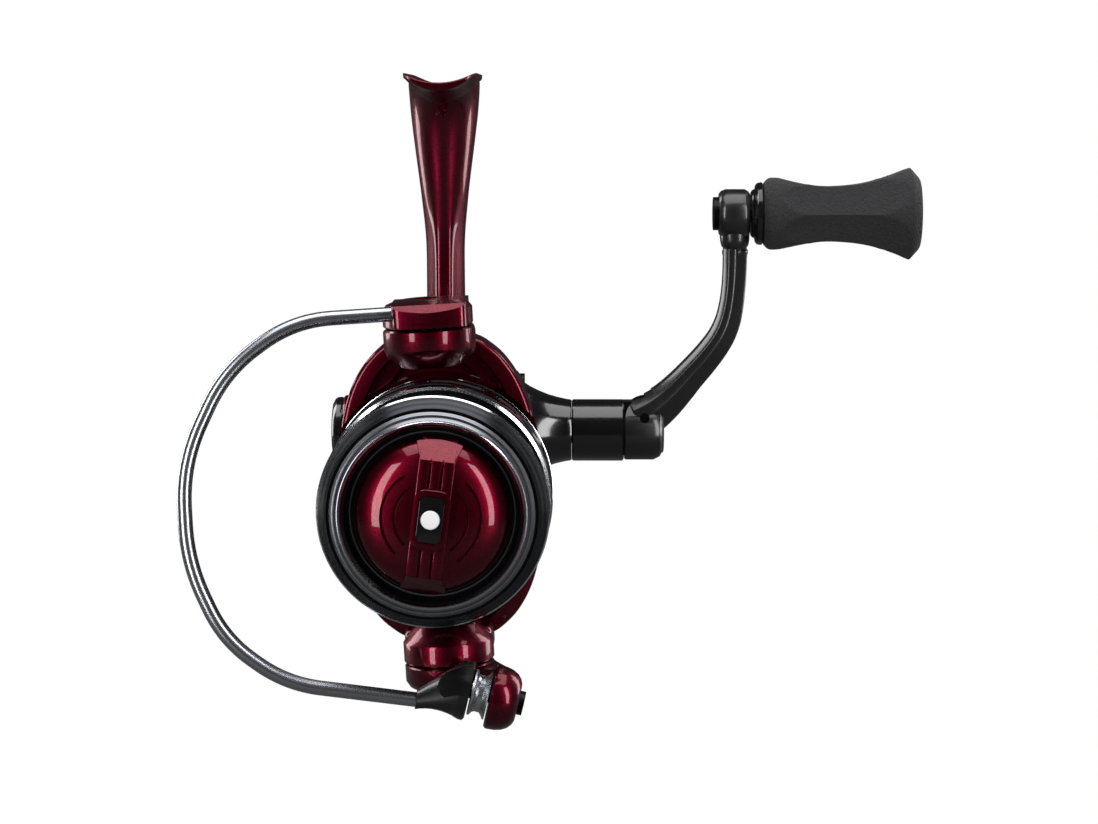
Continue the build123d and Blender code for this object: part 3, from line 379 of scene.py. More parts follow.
# Anodised aluminium, turned: dark grey, with fine rings from the lathe tool.
ANODISED = Finish(
    "dark_anodised_aluminium", "4a4b4f", 0.30, metallic=0.9,
    grain=Grain.TURNED, grain_mm=0.35, relief_mm=0.004, second_colour="3c3d41", rough_spread=0.06,
)
# Anodised black and polished before dyeing: nearly black with sharp reflections. On the spool it is
# also painted shade in the front recess and the lip's groove, and on the front ring's inner edge.
ANODISED_BLACK_AND_PAINTED_SHADE = Finish(
    "black_anodised_and_painted_shade", "101013", 0.16, metallic=0.6, coat=0.3, coat_roughness=0.05,
    grain=Grain.TURNED, grain_mm=0.5, relief_mm=0.002, second_colour="141418", rough_spread=0.04,
)
# Diamond-turned bare aluminium: bright, with a thin bloom of rings. A thin band of it on the lip's
# outer edge is a painted highlight.
BRIGHT_TURNED_AND_PAINTED_HIGHLIGHT = Finish(
    "diamond_turned_and_painted_highlight", "e2e4e8", 0.12, metallic=1.0,
    grain=Grain.TURNED, grain_mm=0.25, relief_mm=0.001, second_colour="d4d7dc", rough_spread=0.04,
)
# Polished stainless wire: soft grey highlights, almost no grain.
POLISHED_WIRE = Finish(
    "polished_stainless_wire", "b4b8be", 0.27, metallic=1.0,
    grain=Grain.CAST, grain_mm=1.5, relief_mm=0.0002, second_colour="a9adb3", rough_spread=0.02,
)
# Ground steel of bearings, screws and shafts.
GROUND_STEEL = Finish(
    "ground_steel", "9a9c9f", 0.28, metallic=1.0,
    grain=Grain.BRUSHED, grain_mm=0.3, relief_mm=0.002, second_colour="85878b", rough_spread=0.08,
)
# Machined brass of the pinion, nut and bushes.
MACHINED_BRASS = Finish(
    "machined_brass", "b99a55", 0.25, metallic=1.0,
    grain=Grain.TURNED, grain_mm=0.3, relief_mm=0.002, second_colour="a98b49", rough_spread=0.06,
)
# Die-cast zinc of gears and slider: grey with a cast bloom.
CAST_ZINC = Finish(
    "die_cast_zinc", "8d8f92", 0.42, metallic=0.9,
    grain=Grain.CAST, grain_mm=0.8, relief_mm=0.01, second_colour="77797d", rough_spread=0.1,
)
# Closed-cell EVA foam: matt charcoal. Its cells are drawn at 0.8 mm, about three times too coarse,
# because the real ones are too fine to show.
EVA_FOAM = Finish(
    "closed_cell_eva_foam", "121214", 0.92, sheen=0.04,
    grain=Grain.FOAM, grain_mm=0.8, relief_mm=0.3, second_colour="2d2d2f", rough_spread=0.05,
)
# Moulded gloss ABS.
GLOSS_ABS = Finish(
    "gloss_moulded_abs", "0c0c0d", 0.14, coat=0.2, coat_roughness=0.05,
    grain=Grain.MOULDED, grain_mm=1.6, relief_mm=0.004, second_colour="111112", rough_spread=0.03,
)
# Moulded nylon: black with a soft grain.
NYLON = Finish(
    "moulded_nylon", "161617", 0.5,
    grain=Grain.MOULDED, grain_mm=0.5, relief_mm=0.01, second_colour="1d1d1e", rough_spread=0.08,
)
# White enamel of the small disc.
ENAMEL = Finish(
    "white_enamel", "d9d9da", 0.2, coat=0.5, coat_roughness=0.05,
    grain=Grain.MOULDED, grain_mm=0.8, relief_mm=0.002, second_colour="cfcfd1", rough_spread=0.04,
)
# Oiled felt of the drag washers.
FELT = Finish(
    "oiled_felt", "5b554b", 0.95, sheen=0.3,
    grain=Grain.FOAM, grain_mm=0.3, relief_mm=0.05, second_colour="48433b", rough_spread=0.04,
)

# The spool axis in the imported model, in metres.
SPOOL_CENTRE = (0.0, -0.031, -0.0893)
# The lip's cone: dark anodised over a turned face, so it keeps faint rings.
ANODISED_LIP = Finish(
    "anodised_turned_lip", "3a3b3f", 0.27, metallic=0.95,
    grain=Grain.TURNED, grain_mm=0.9, relief_mm=0.002, second_colour="2f3034", rough_spread=0.05,
    centre=SPOOL_CENTRE,
)
# Satin band beside the front ring. Its grey on the thin ridge in the spool's front recess is a
# painted highlight.
SATIN_RING_AND_PAINTED_HIGHLIGHT = Finish(
    "satin_turned_and_painted_highlight", "8b8d93", 0.30, metallic=1.0,
    grain=Grain.TURNED, grain_mm=0.9, relief_mm=0.002, second_colour="7b7d83", rough_spread=0.05,
    centre=SPOOL_CENTRE,
)
# The same candy lacquer over moulded ABS: finer flake, no cast ripple.
CANDY_KNOB = Finish(
    "candy_lacquered_abs", "70061f", 0.34, metallic=1.0, coat=0.55, coat_roughness=0.03,
    grain=Grain.FLAKE, grain_mm=0.2, relief_mm=0.002, second_colour="480313", rough_spread=0.05,
)
# Satin moulded ABS of the cone.
SATIN_ABS = Finish(
    "satin_moulded_abs", "0d0d0e", 0.30, coat=0.15, coat_roughness=0.15,
    grain=Grain.MOULDED, grain_mm=0.9, relief_mm=0.004, second_colour="131314", rough_spread=0.05,
)
# Black lacquered collar, turned before it was painted.
GLOSS_BLACK_METAL = Finish(
    "black_lacquered_collar", "0a0a0b", 0.20, coat=0.6, coat_roughness=0.06,
    grain=Grain.CAST, grain_mm=1.6, relief_mm=0.003, second_colour="0f0f10", rough_spread=0.04,
)
# Oil-blackened steel of the small screws and pins that show.
BLACKENED_STEEL = Finish(
    "oil_blackened_steel", "1c1c1e", 0.34, metallic=1.0,
    grain=Grain.BRUSHED, grain_mm=0.5, relief_mm=0.002, second_colour="28282b", rough_spread=0.07,
)
# CAD nodes that are oil-blackened rather than bright.
BLACKENED = ("fold_pin", "knob_axle", "roller_screw", "cover_screws")

SLOT_FINISHES = {
    "painted_red": CANDY_LACQUER,
    "painted_black": BLACK_LACQUER,
    "anodised_dark": ANODISED,
    "polished_aluminium": BRIGHT_TURNED_AND_PAINTED_HIGHLIGHT,
    "chrome_wire": POLISHED_WIRE,
    "steel": GROUND_STEEL,
    "zinc_gear": CAST_ZINC,
    "brass": MACHINED_BRASS,
    "foam": EVA_FOAM,
    "black_plastic": NYLON,
    "gloss_plastic": GLOSS_ABS,
    "red_plastic": CANDY_LACQUER,
    "white_enamel": ENAMEL,
    "felt": FELT,
}


def dress(piece: bpy.types.Object, *finishes: Finish) -> None:
    """Gives a piece its materials.

    Args:
        piece: the object.
        finishes: one for each material slot, in order.
    """
    piece.data.materials.clear()
    for finish in finishes:
        piece.data.materials.append(finish.build())


def dress_frame(reel: ReelFrame, record: dict) -> None:
    """Gives every CAD node the finish of its slot.

    Args:
        reel: the frame.
        record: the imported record.
    """
    slots = {row["node"]: row["material_slot"] for row in record["subparts"]}
    for name, node in reel.nodes.items():
        dress(node, BLACKENED_STEEL if name in BLACKENED else SLOT_FINISHES[slots[name]])


# ---------------------------------------------------------------- bench tools


def deselect() -> None:
    """Leaves edit mode and lets go of every object."""
    if bpy.context.mode != "OBJECT":
        bpy.ops.object.mode_set(mode="OBJECT")
    bpy.ops.object.select_all(action="DESELECT")


def hold(piece: bpy.types.Object) -> None:
    """Makes a piece the only selected and active one.

    Args:
        piece: the object.
    """
    deselect()
    piece.select_set(True)
    bpy.context.view_layer.objects.active = piece


def open_up(piece: bpy.types.Object) -> None:
    """Goes into edit mode on a piece with everything selected.

    Args:
        piece: the object.
    """
    hold(piece)
    bpy.ops.object.mode_set(mode="EDIT")
    bpy.ops.mesh.select_all(action="SELECT")


def close_up() -> None:
    """Merges doubles, points the faces outwards and leaves edit mode."""
    bpy.ops.mesh.select_all(action="SELECT")
    bpy.ops.mesh.remove_doubles(threshold=0.002)
    bpy.ops.mesh.normals_make_consistent(inside=False)
    bpy.ops.object.mode_set(mode="OBJECT")


def chain(name: str, points: list[Vector]) -> bpy.types.Object:
    """Draws a run of edges, left open in edit mode.

    Args:
        name: the new object's name.
        points: the corners in order.

    Returns:
        The object.
    """
    deselect()
    bpy.ops.mesh.primitive_plane_add(size=1.0)
    piece = bpy.context.active_object
    piece.name = name
    bpy.ops.object.mode_set(mode="EDIT")
    bpy.ops.mesh.select_all(action="SELECT")
    bpy.ops.mesh.merge(type="CENTER")
    bpy.ops.transform.translate(value=points[0])
    for before, here in zip(points, points[1:]):
        bpy.ops.mesh.extrude_vertices_move(TRANSFORM_OT_translate={"value": here - before})
    return piece


@dataclass(frozen=True)
class Spindle:
    """An axis that pieces are turned on."""

    centre: Vector
    way: Vector
    side: Vector

    def point(self, along: float, radius: float) -> Vector:
        """A point beside the axis."""
        return self.centre + self.way * along + self.side * radius


SPOOL_AXIS = Spindle(MIDDLE, BACK, RIGHT)
PIVOT_AXIS = Spindle(MIDDLE, UP, RIGHT)


def lathe(
    name: str, spindle: Spindle, profile: list[Point], steps: int = 96, sweep: float = 360.0
) -> bpy.types.Object:
    """Turns a closed profile about an axis.

    Args:
        name: the piece's name.
        spindle: the axis.
        profile: corners as (along, radius).
        steps: how many facets go round.
        sweep: degrees that the profile turns through.

    Returns:
        The turned piece.
    """
    points = [spindle.point(along, radius) for along, radius in profile]
    piece = chain(name, points + points[:1])
    bpy.ops.mesh.select_all(action="SELECT")
    bpy.ops.mesh.remove_doubles(threshold=0.0005)
    bpy.ops.mesh.select_all(action="SELECT")
    bpy.ops.mesh.spin(
        steps=steps, angle=math.radians(sweep), center=spindle.centre, axis=spindle.way
    )
    bpy.ops.mesh.select_all(action="SELECT")
    bpy.ops.mesh.remove_doubles(threshold=0.002)
    if sweep < 360:
        bpy.ops.mesh.select_all(action="SELECT")
        bpy.ops.mesh.fill_holes(sides=0)
    close_up()
    return piece


def plug(
    name: str, spindle: Spindle, radius: float, span: Point, steps: int
) -> bpy.types.Object:
    """A plain cylinder, as a start or a cutter.

    Args:
        name: the piece's name.
        spindle: its axis.
        radius: its radius.
        span: where it starts and ends along the axis.
        steps: how many facets go round.

    Returns:
        The cylinder.
    """
    start, end = span
    return lathe(name, spindle, [(start, 0), (start, radius), (end, radius), (end, 0)], steps)


def prism(
    name: str, outline: list[Vector], depth: Vector, corner: float = 0.0, segments: int = 6
) -> bpy.types.Object:
    """Makes a flat outline solid.

    Args:
        name: the piece's name.
        outline: corners in order, all in one plane.
        depth: the way and distance it is extruded.
        corner: rounding of the outline's corners.
        segments: facets of each rounded corner.

    Returns:
        The piece.
    """
    piece = chain(name, outline)
    bpy.ops.mesh.select_all(action="SELECT")
    bpy.ops.mesh.edge_face_add()
    if corner > 0:
        bpy.ops.mesh.bevel(
            offset_type="OFFSET", offset=corner, segments=segments, affect="VERTICES"
        )
        bpy.ops.mesh.select_all(action="SELECT")
    bpy.ops.mesh.extrude_region_move(TRANSFORM_OT_translate={"value": depth})
    close_up()
    return piece


def box(name: str, low: Vector, high: Vector) -> bpy.types.Object:
    """A block between two corners, as a start or a cutter."""
    outline = [
        Vector((low.x, low.y, low.z)),
        Vector((high.x, low.y, low.z)),
        Vector((high.x, high.y, low.z)),
        Vector((low.x, high.y, low.z)),
    ]
    return prism(name, outline, Vector((0, 0, high.z - low.z)))


def loft(name: str, rings: list[list[Vector]]) -> bpy.types.Object:
    """Skins rings of points of equal count and closes both ends.

    Args:
        name: the piece's name.
        rings: the rings in order.

    Returns:
        The piece.
    """
    count = len(rings[0])
    deselect()
    bpy.ops.mesh.primitive_circle_add(vertices=count, radius=1.0, fill_type="NOTHING")
    piece = bpy.context.active_object
    piece.name = name
    bpy.ops.object.mode_set(mode="EDIT")
    bpy.ops.mesh.select_all(action="SELECT")
    for _ in rings[1:]:
        bpy.ops.mesh.extrude_region_move(TRANSFORM_OT_translate={"value": (0, 0, 1)})
    bpy.ops.object.mode_set(mode="OBJECT")
    flat = [point for ring in rings for point in ring]
    for vertex, point in zip(piece.data.vertices, flat):
        vertex.co = point
    for first in (0, count * (len(rings) - 1)):
        open_up(piece)
        bpy.ops.mesh.select_all(action="DESELECT")
        bpy.ops.object.mode_set(mode="OBJECT")
        for vertex in piece.data.vertices:
            vertex.select = first <= vertex.index < first + count
        bpy.ops.object.mode_set(mode="EDIT")
        bpy.ops.mesh.select_mode(type="VERT")
        bpy.ops.mesh.edge_face_add()
        bpy.ops.object.mode_set(mode="OBJECT")
    open_up(piece)
    close_up()
    return piece


def apply_modifier(piece: bpy.types.Object, kind: str, settings: dict) -> None:
    """Adds a modifier with its settings and applies it.

    Args:
        piece: the object.
        kind: the modifier's type.
        settings: its properties.
    """
    hold(piece)
    modifier = piece.modifiers.new(kind.lower(), kind)
    for name, value in settings.items():
        setattr(modifier, name, value)
    bpy.ops.object.modifier_apply(modifier=modifier.name)


def soften(piece: bpy.types.Object, width: float, segments: int = 3, angle: float = 30.0) -> None:
    """Rounds the sharp edges of a piece.

    Args:
        piece: the object.
        width: how wide the rounding is.
        segments: facets across it.
        angle: edges sharper than this are rounded, in degrees.
    """
    apply_modifier(
        piece,
        "BEVEL",
        {
            "width": width,
            "segments": segments,
            "limit_method": "ANGLE",
            "angle_limit": math.radians(angle),
            "harden_normals": False,
            "use_clamp_overlap": True,
        },
    )


class Join(Enum):
    """What a boolean does."""

    ADD = "UNION"
    CUT = "DIFFERENCE"
    KEEP = "INTERSECT"


def combine(piece: bpy.types.Object, others: list[bpy.types.Object], how: Join) -> None:
    """Adds or cuts away other solids, which are used up.

    Args:
        piece: the solid that stays.
        others: the solids used on it.
        how: add, cut or keep.
    """
    for other in others:
        apply_modifier(
            piece, "BOOLEAN", {"operation": how.value, "object": other, "solver": "EXACT"}
        )
        bpy.data.objects.remove(other, do_unlink=True)


def gather(piece: bpy.types.Object, others: list[bpy.types.Object]) -> None:
    """Joins other meshes into a piece as they are.

    Args:
        piece: the mesh that stays.
        others: the meshes that go into it.
    """
    hold(piece)
    for other in others:
        other.select_set(True)
    bpy.ops.object.join()


def flowing(points: list[Point], steps: int = 6) -> list[Point]:
    """A smooth run through points.

    Args:
        points: the points it passes.
        steps: parts between two of them.

    Returns:
        The finer run, its ends kept.
    """
    run: list[Point] = []
    ends = [points[0]] + points + [points[-1]]
    for a, b, c, d in zip(ends, ends[1:], ends[2:], ends[3:]):
        for step in range(steps):
            t = step / steps
            spot = []
            for i in (0, 1):
                spot.append(
                    0.5
                    * (
                        2 * b[i]
                        + (c[i] - a[i]) * t
                        + (2 * a[i] - 5 * b[i] + 4 * c[i] - d[i]) * t * t
                        + (3 * b[i] - a[i] - 3 * c[i] + d[i]) * t**3
                    )
                )
            run.append((spot[0], spot[1]))
    run.append(points[-1])
    return run


def paint(piece: bpy.types.Object, index: int, test: Callable[[Vector], bool]) -> None:
    """Gives the faces that pass a test another material slot.

    Args:
        piece: the object, in working millimetres.
        index: the slot.
        test: takes a face's middle.
    """
    for face in piece.data.polygons:
        if test(face.center):
            face.material_index = index


def deliver(
    piece: bpy.types.Object,
    reel: ReelFrame,
    body: str,
    finishes: tuple[Finish, ...],
    replaces: tuple[str, ...] = (),
    turned: bool = False,
    angle: float = 32.0,
) -> bpy.types.Object:
    """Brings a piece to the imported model's frame and hands it over.

    Args:
        piece: the object, in working millimetres.
        reel: the frame.
        body: the CAD body that it rides on.
        finishes: one for each material slot.
        replaces: CAD nodes that it stands for.
        turned: whether it stands on the turned rotor.
        angle: edges sharper than this stay sharp.

    Returns:
        The piece.
    """
    place = reel.to_row()
    if turned:
        place = place @ reel.rotor_turn()
    hold(piece)
    piece.matrix_world = place @ piece.matrix_world
    bpy.ops.object.transform_apply(location=True, rotation=True, scale=True)
    bpy.ops.object.shade_smooth_by_angle(angle=math.radians(angle))
    keep = [face.material_index for face in piece.data.polygons]
    dress(piece, *finishes)
    for face, index in zip(piece.data.polygons, keep):
        face.material_index = min(index, len(finishes) - 1)
    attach(piece, body)
    if replaces:
        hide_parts(*replaces)
    deselect()
    LOG.info("%s: %d faces", piece.name, len(piece.data.polygons))
    return piece


# ---------------------------------------------------------------- spool


@dataclass
class SpoolGroup:
    """Spool with its lip, bright front ring and ported skirt. Lengths in millimetres."""

    reel: ReelFrame
    lip_radius: float = 24.5
    lip_y: float = -27.0
    ring_inner: float = 18.4
    ring_outer: float = 20.4
    ring_back: float = -31.4
    ring_front: float = -32.4
    recess_floor: float = -28.2
    drag_bore: float = 11.5
    drag_floor: float = -17.5
    bore: float = 2.6
    arbor_radius: float = 17.0
    skirt_radius: float = 24.9
    skirt_wall: float = 0.8
    skirt_front: float = -10.0
    skirt_back: float = 8.0
    port_count: int = 10

    def build(self) -> None:
        """Makes the spool and its front ring."""
        self.build_spool()
        self.build_ring()

    def build_spool(self) -> None:
        """Lip, arbor and skirt in one turned piece."""
        lip, y = self.lip_radius, self.lip_y
        skirt, front, back = self.skirt_radius, self.skirt_front, self.skirt_back
        inner = skirt - self.skirt_wall
        profile = [
            (self.drag_floor, self.bore),
            (self.drag_floor, self.drag_bore),
            (self.recess_floor + 0.3, self.drag_bore),
            (self.recess_floor, self.drag_bore + 0.3),
            (self.recess_floor, 17.0),
            (self.recess_floor - 0.7, 17.1),
            (self.recess_floor - 0.7, 17.4),
            (self.recess_floor, 17.5),
            (self.recess_floor, self.ring_inner),
            (self.ring_back, self.ring_inner),
            (self.ring_back, self.ring_outer + 0.1),
            (self.ring_back + 0.1, 20.9),
            (self.ring_back + 0.75, 21.45),
            (-29.9, 21.5),
            (-29.9, 21.95),
            (-30.15, 22.1),
            (-29.6, 22.6),
            (y - 0.35, lip - 0.35),
            (y + 0.05, lip - 0.02),
            (y + 0.55, lip),
            (y + 0.95, lip - 0.2),
            (y + 1.2, lip - 0.6),
            (-24.9, self.arbor_radius + 1.0),
            (-24.3, self.arbor_radius),
            (-21.0, self.arbor_radius),
            (-20.8, self.arbor_radius - 0.4),
            (-20.0, self.arbor_radius - 0.4),
            (-19.8, self.arbor_radius),
            (-14.0, self.arbor_radius),
            (-13.8, self.arbor_radius - 0.4),
            (-13.0, self.arbor_radius - 0.4),
            (-12.8, self.arbor_radius),
            (front - 0.6, self.arbor_radius),
            (front, self.arbor_radius + 0.6),
            (front + 0.1, skirt - 1.0),
            (front + 0.45, skirt - 0.35),
            (front + 1.5, skirt),
            (front + 2.5, skirt),
            (front + 2.65, skirt - 0.3),
            (front + 3.35, skirt - 0.3),
            (front + 3.5, skirt - 0.05),
            (back - 1.7, skirt - 0.05),
            (back - 1.6, skirt - 0.25),
            (back - 1.2, skirt - 0.25),
            (back - 1.1, skirt),
            (back - 0.3, skirt),
            (back, skirt - 0.3),
            (back, inner),
            (-8.0, inner),
            (-8.0, self.bore),
        ]
        spool = lathe("spool_turned", SPOOL_AXIS, profile, 144)
        ports = []
        for i in range(self.port_count):
            ports.append(self.port(360.0 / self.port_count * i + 9.0))
        first = ports[0]
        gather(first, ports[1:])
        combine(spool, [first], Join.CUT)
        # Slot 1 is bright metal, and on the lip's outer edge it is a painted highlight.
        paint(spool, 1, self.is_bright_and_painted_highlight)
        # Slot 2 is black, and in the front recess and the lip's groove it is painted shade.
        paint(spool, 2, self.is_black_and_painted_shade)
        # Slot 3 is satin, and on the ridge in the front recess it is a painted highlight.
        paint(spool, 3, self.is_satin_and_painted_highlight)
        deliver(
            spool,
            self.reel,
            "spool",
            (ANODISED_LIP, BRIGHT_TURNED_AND_PAINTED_HIGHLIGHT, ANODISED_BLACK_AND_PAINTED_SHADE, SATIN_RING_AND_PAINTED_HIGHLIGHT),
            ("spool",),
            angle=24.0,
        )

    def port(self, degrees: float) -> bpy.types.Object:
        """A cutter for one shallow rounded slot in the skirt.

        Args:
            degrees: where round the skirt it lies.

        Returns:
            The cutter.
        """
        reach = self.skirt_radius
        low = [(-7.0, -2.4), (7.0, -2.4), (7.0, 1.6), (-7.0, 1.6)]
        outline = [Vector((x, y, reach - 1.0)) for x, y in low]
        cutter = prism("port", outline, Vector((0, 0, 3.0)), 1.4, 5)
        ring = lathe(
            "port_floor", SPOOL_AXIS, [(-4, 10), (-4, reach - 0.35), (4, reach - 0.35), (4, 10)], 96
        )
        combine(cutter, [ring], Join.CUT)
        turn = Matrix.Rotation(math.radians(degrees), 4, "Y")
        cutter.data.transform(turn)
        return cutter

    def is_bright_and_painted_highlight(self, middle: Vector) -> bool:
        """Front corner band and rear bead of the skirt, and a painted highlight on the lip's outer
        edge.

        Args:
            middle: a face's middle.

        Returns:
            Whether the face is bright.
        """
        radius = math.hypot(middle.x, middle.z)
        corner = self.skirt_front < middle.y < self.skirt_front + 1.55 and radius > 24.0
        bead = middle.y > self.skirt_back - 1.15 and radius > 24.5
        # Painted highlight: a thin band of bright metal on the lip's outer edge.
        rim = abs(middle.y - self.lip_y - 0.1) < 0.35 and radius > 24.2
        return corner or bead or rim

    def is_black_and_painted_shade(self, middle: Vector) -> bool:
        """The recess in the front and the lip's groove, painted black as shade, and the skirt's
        black barrel and inside.

        Args:
            middle: a face's middle.

        Returns:
            Whether the face is black.
        """
        radius = math.hypot(middle.x, middle.z)
        # Painted shade: the front recess round the knob and the lip's groove are painted black.
        recess = middle.y < -27.0 and radius < 18.45 and not 16.95 < radius < 17.45
        groove = 21.45 < radius < 22.12 and middle.y < -29.5
        barrel = -7.6 < middle.y < self.skirt_back - 1.15 and 24.57 < radius
        inside = middle.y > -8.5 and radius < 24.3
        return recess or groove or barrel or inside

    def is_satin_and_painted_highlight(self, middle: Vector) -> bool:
        """The satin band just outside the front ring, the floors of the ports, and the thin ridge
        in the front recess, whose grey is a painted highlight.

        Args:
            middle: a face's middle.

        Returns:
            Whether the face is satin.
        """
        radius = math.hypot(middle.x, middle.z)
        band = 20.45 < radius < 21.47 and middle.y < -30.3
        floor = -2.6 < middle.y < 1.8 and 24.3 < radius < 24.6
        # Painted highlight: the thin ridge in the front recess is drawn satin grey.
        line = 16.95 < radius < 17.45 and middle.y < -28.4
        return band or floor or line

    def build_ring(self) -> None:
        """The ring in the lip's front: a satin cone, a bright bead and an inner edge painted black
        as shade.
        """
        inner, outer = self.ring_inner, self.ring_outer
        front, back = self.ring_front, self.ring_back - 0.01
        profile = [
            (back, inner),
            (front + 0.75, inner),
            (front + 0.6, inner + 0.2),
            (front + 0.3, inner + 0.6),
            (front + 0.12, inner + 0.68),
            (front, inner + 0.82),
            (front, inner + 1.1),
            (front + 0.1, inner + 1.26),
            (front + 0.26, inner + 1.3),
            (front + 0.3, inner + 1.42),
            (back - 0.12, outer - 0.05),
            (back, outer),
        ]
        ring = lathe("lip_ring_turned", SPOOL_AXIS, profile, 144)
        paint(ring, 1, self.is_bead)
        # Painted shade: the ring's inner edge, beside the gap round the knob, is painted black.
        paint(ring, 2, self.is_painted_shade_inside)
        deliver(
            ring,
            self.reel,
            "spool",
            (SATIN_RING_AND_PAINTED_HIGHLIGHT, BRIGHT_TURNED_AND_PAINTED_HIGHLIGHT, ANODISED_BLACK_AND_PAINTED_SHADE),
            ("lip_ring",),
            angle=20.0,
        )

    def is_bead(self, middle: Vector) -> bool:
        """The narrow bright bead of the front ring."""
        return self.ring_inner + 0.6 < math.hypot(middle.x, middle.z) < self.ring_inner + 1.31

    def is_painted_shade_inside(self, middle: Vector) -> bool:
        """The front ring's inner edge, painted black as shade."""
        return math.hypot(middle.x, middle.z) < self.ring_inner + 0.6


# ---------------------------------------------------------------- drag knob


def rectangle(wide: float, tall: float, y: float) -> list[Vector]:
    """Corners of an upright rectangle about the spool axis, from its half sizes."""
    corners = ((-wide, -tall), (wide, -tall), (wide, tall), (-wide, tall))
    return [Vector((x, y, z)) for x, z in corners]


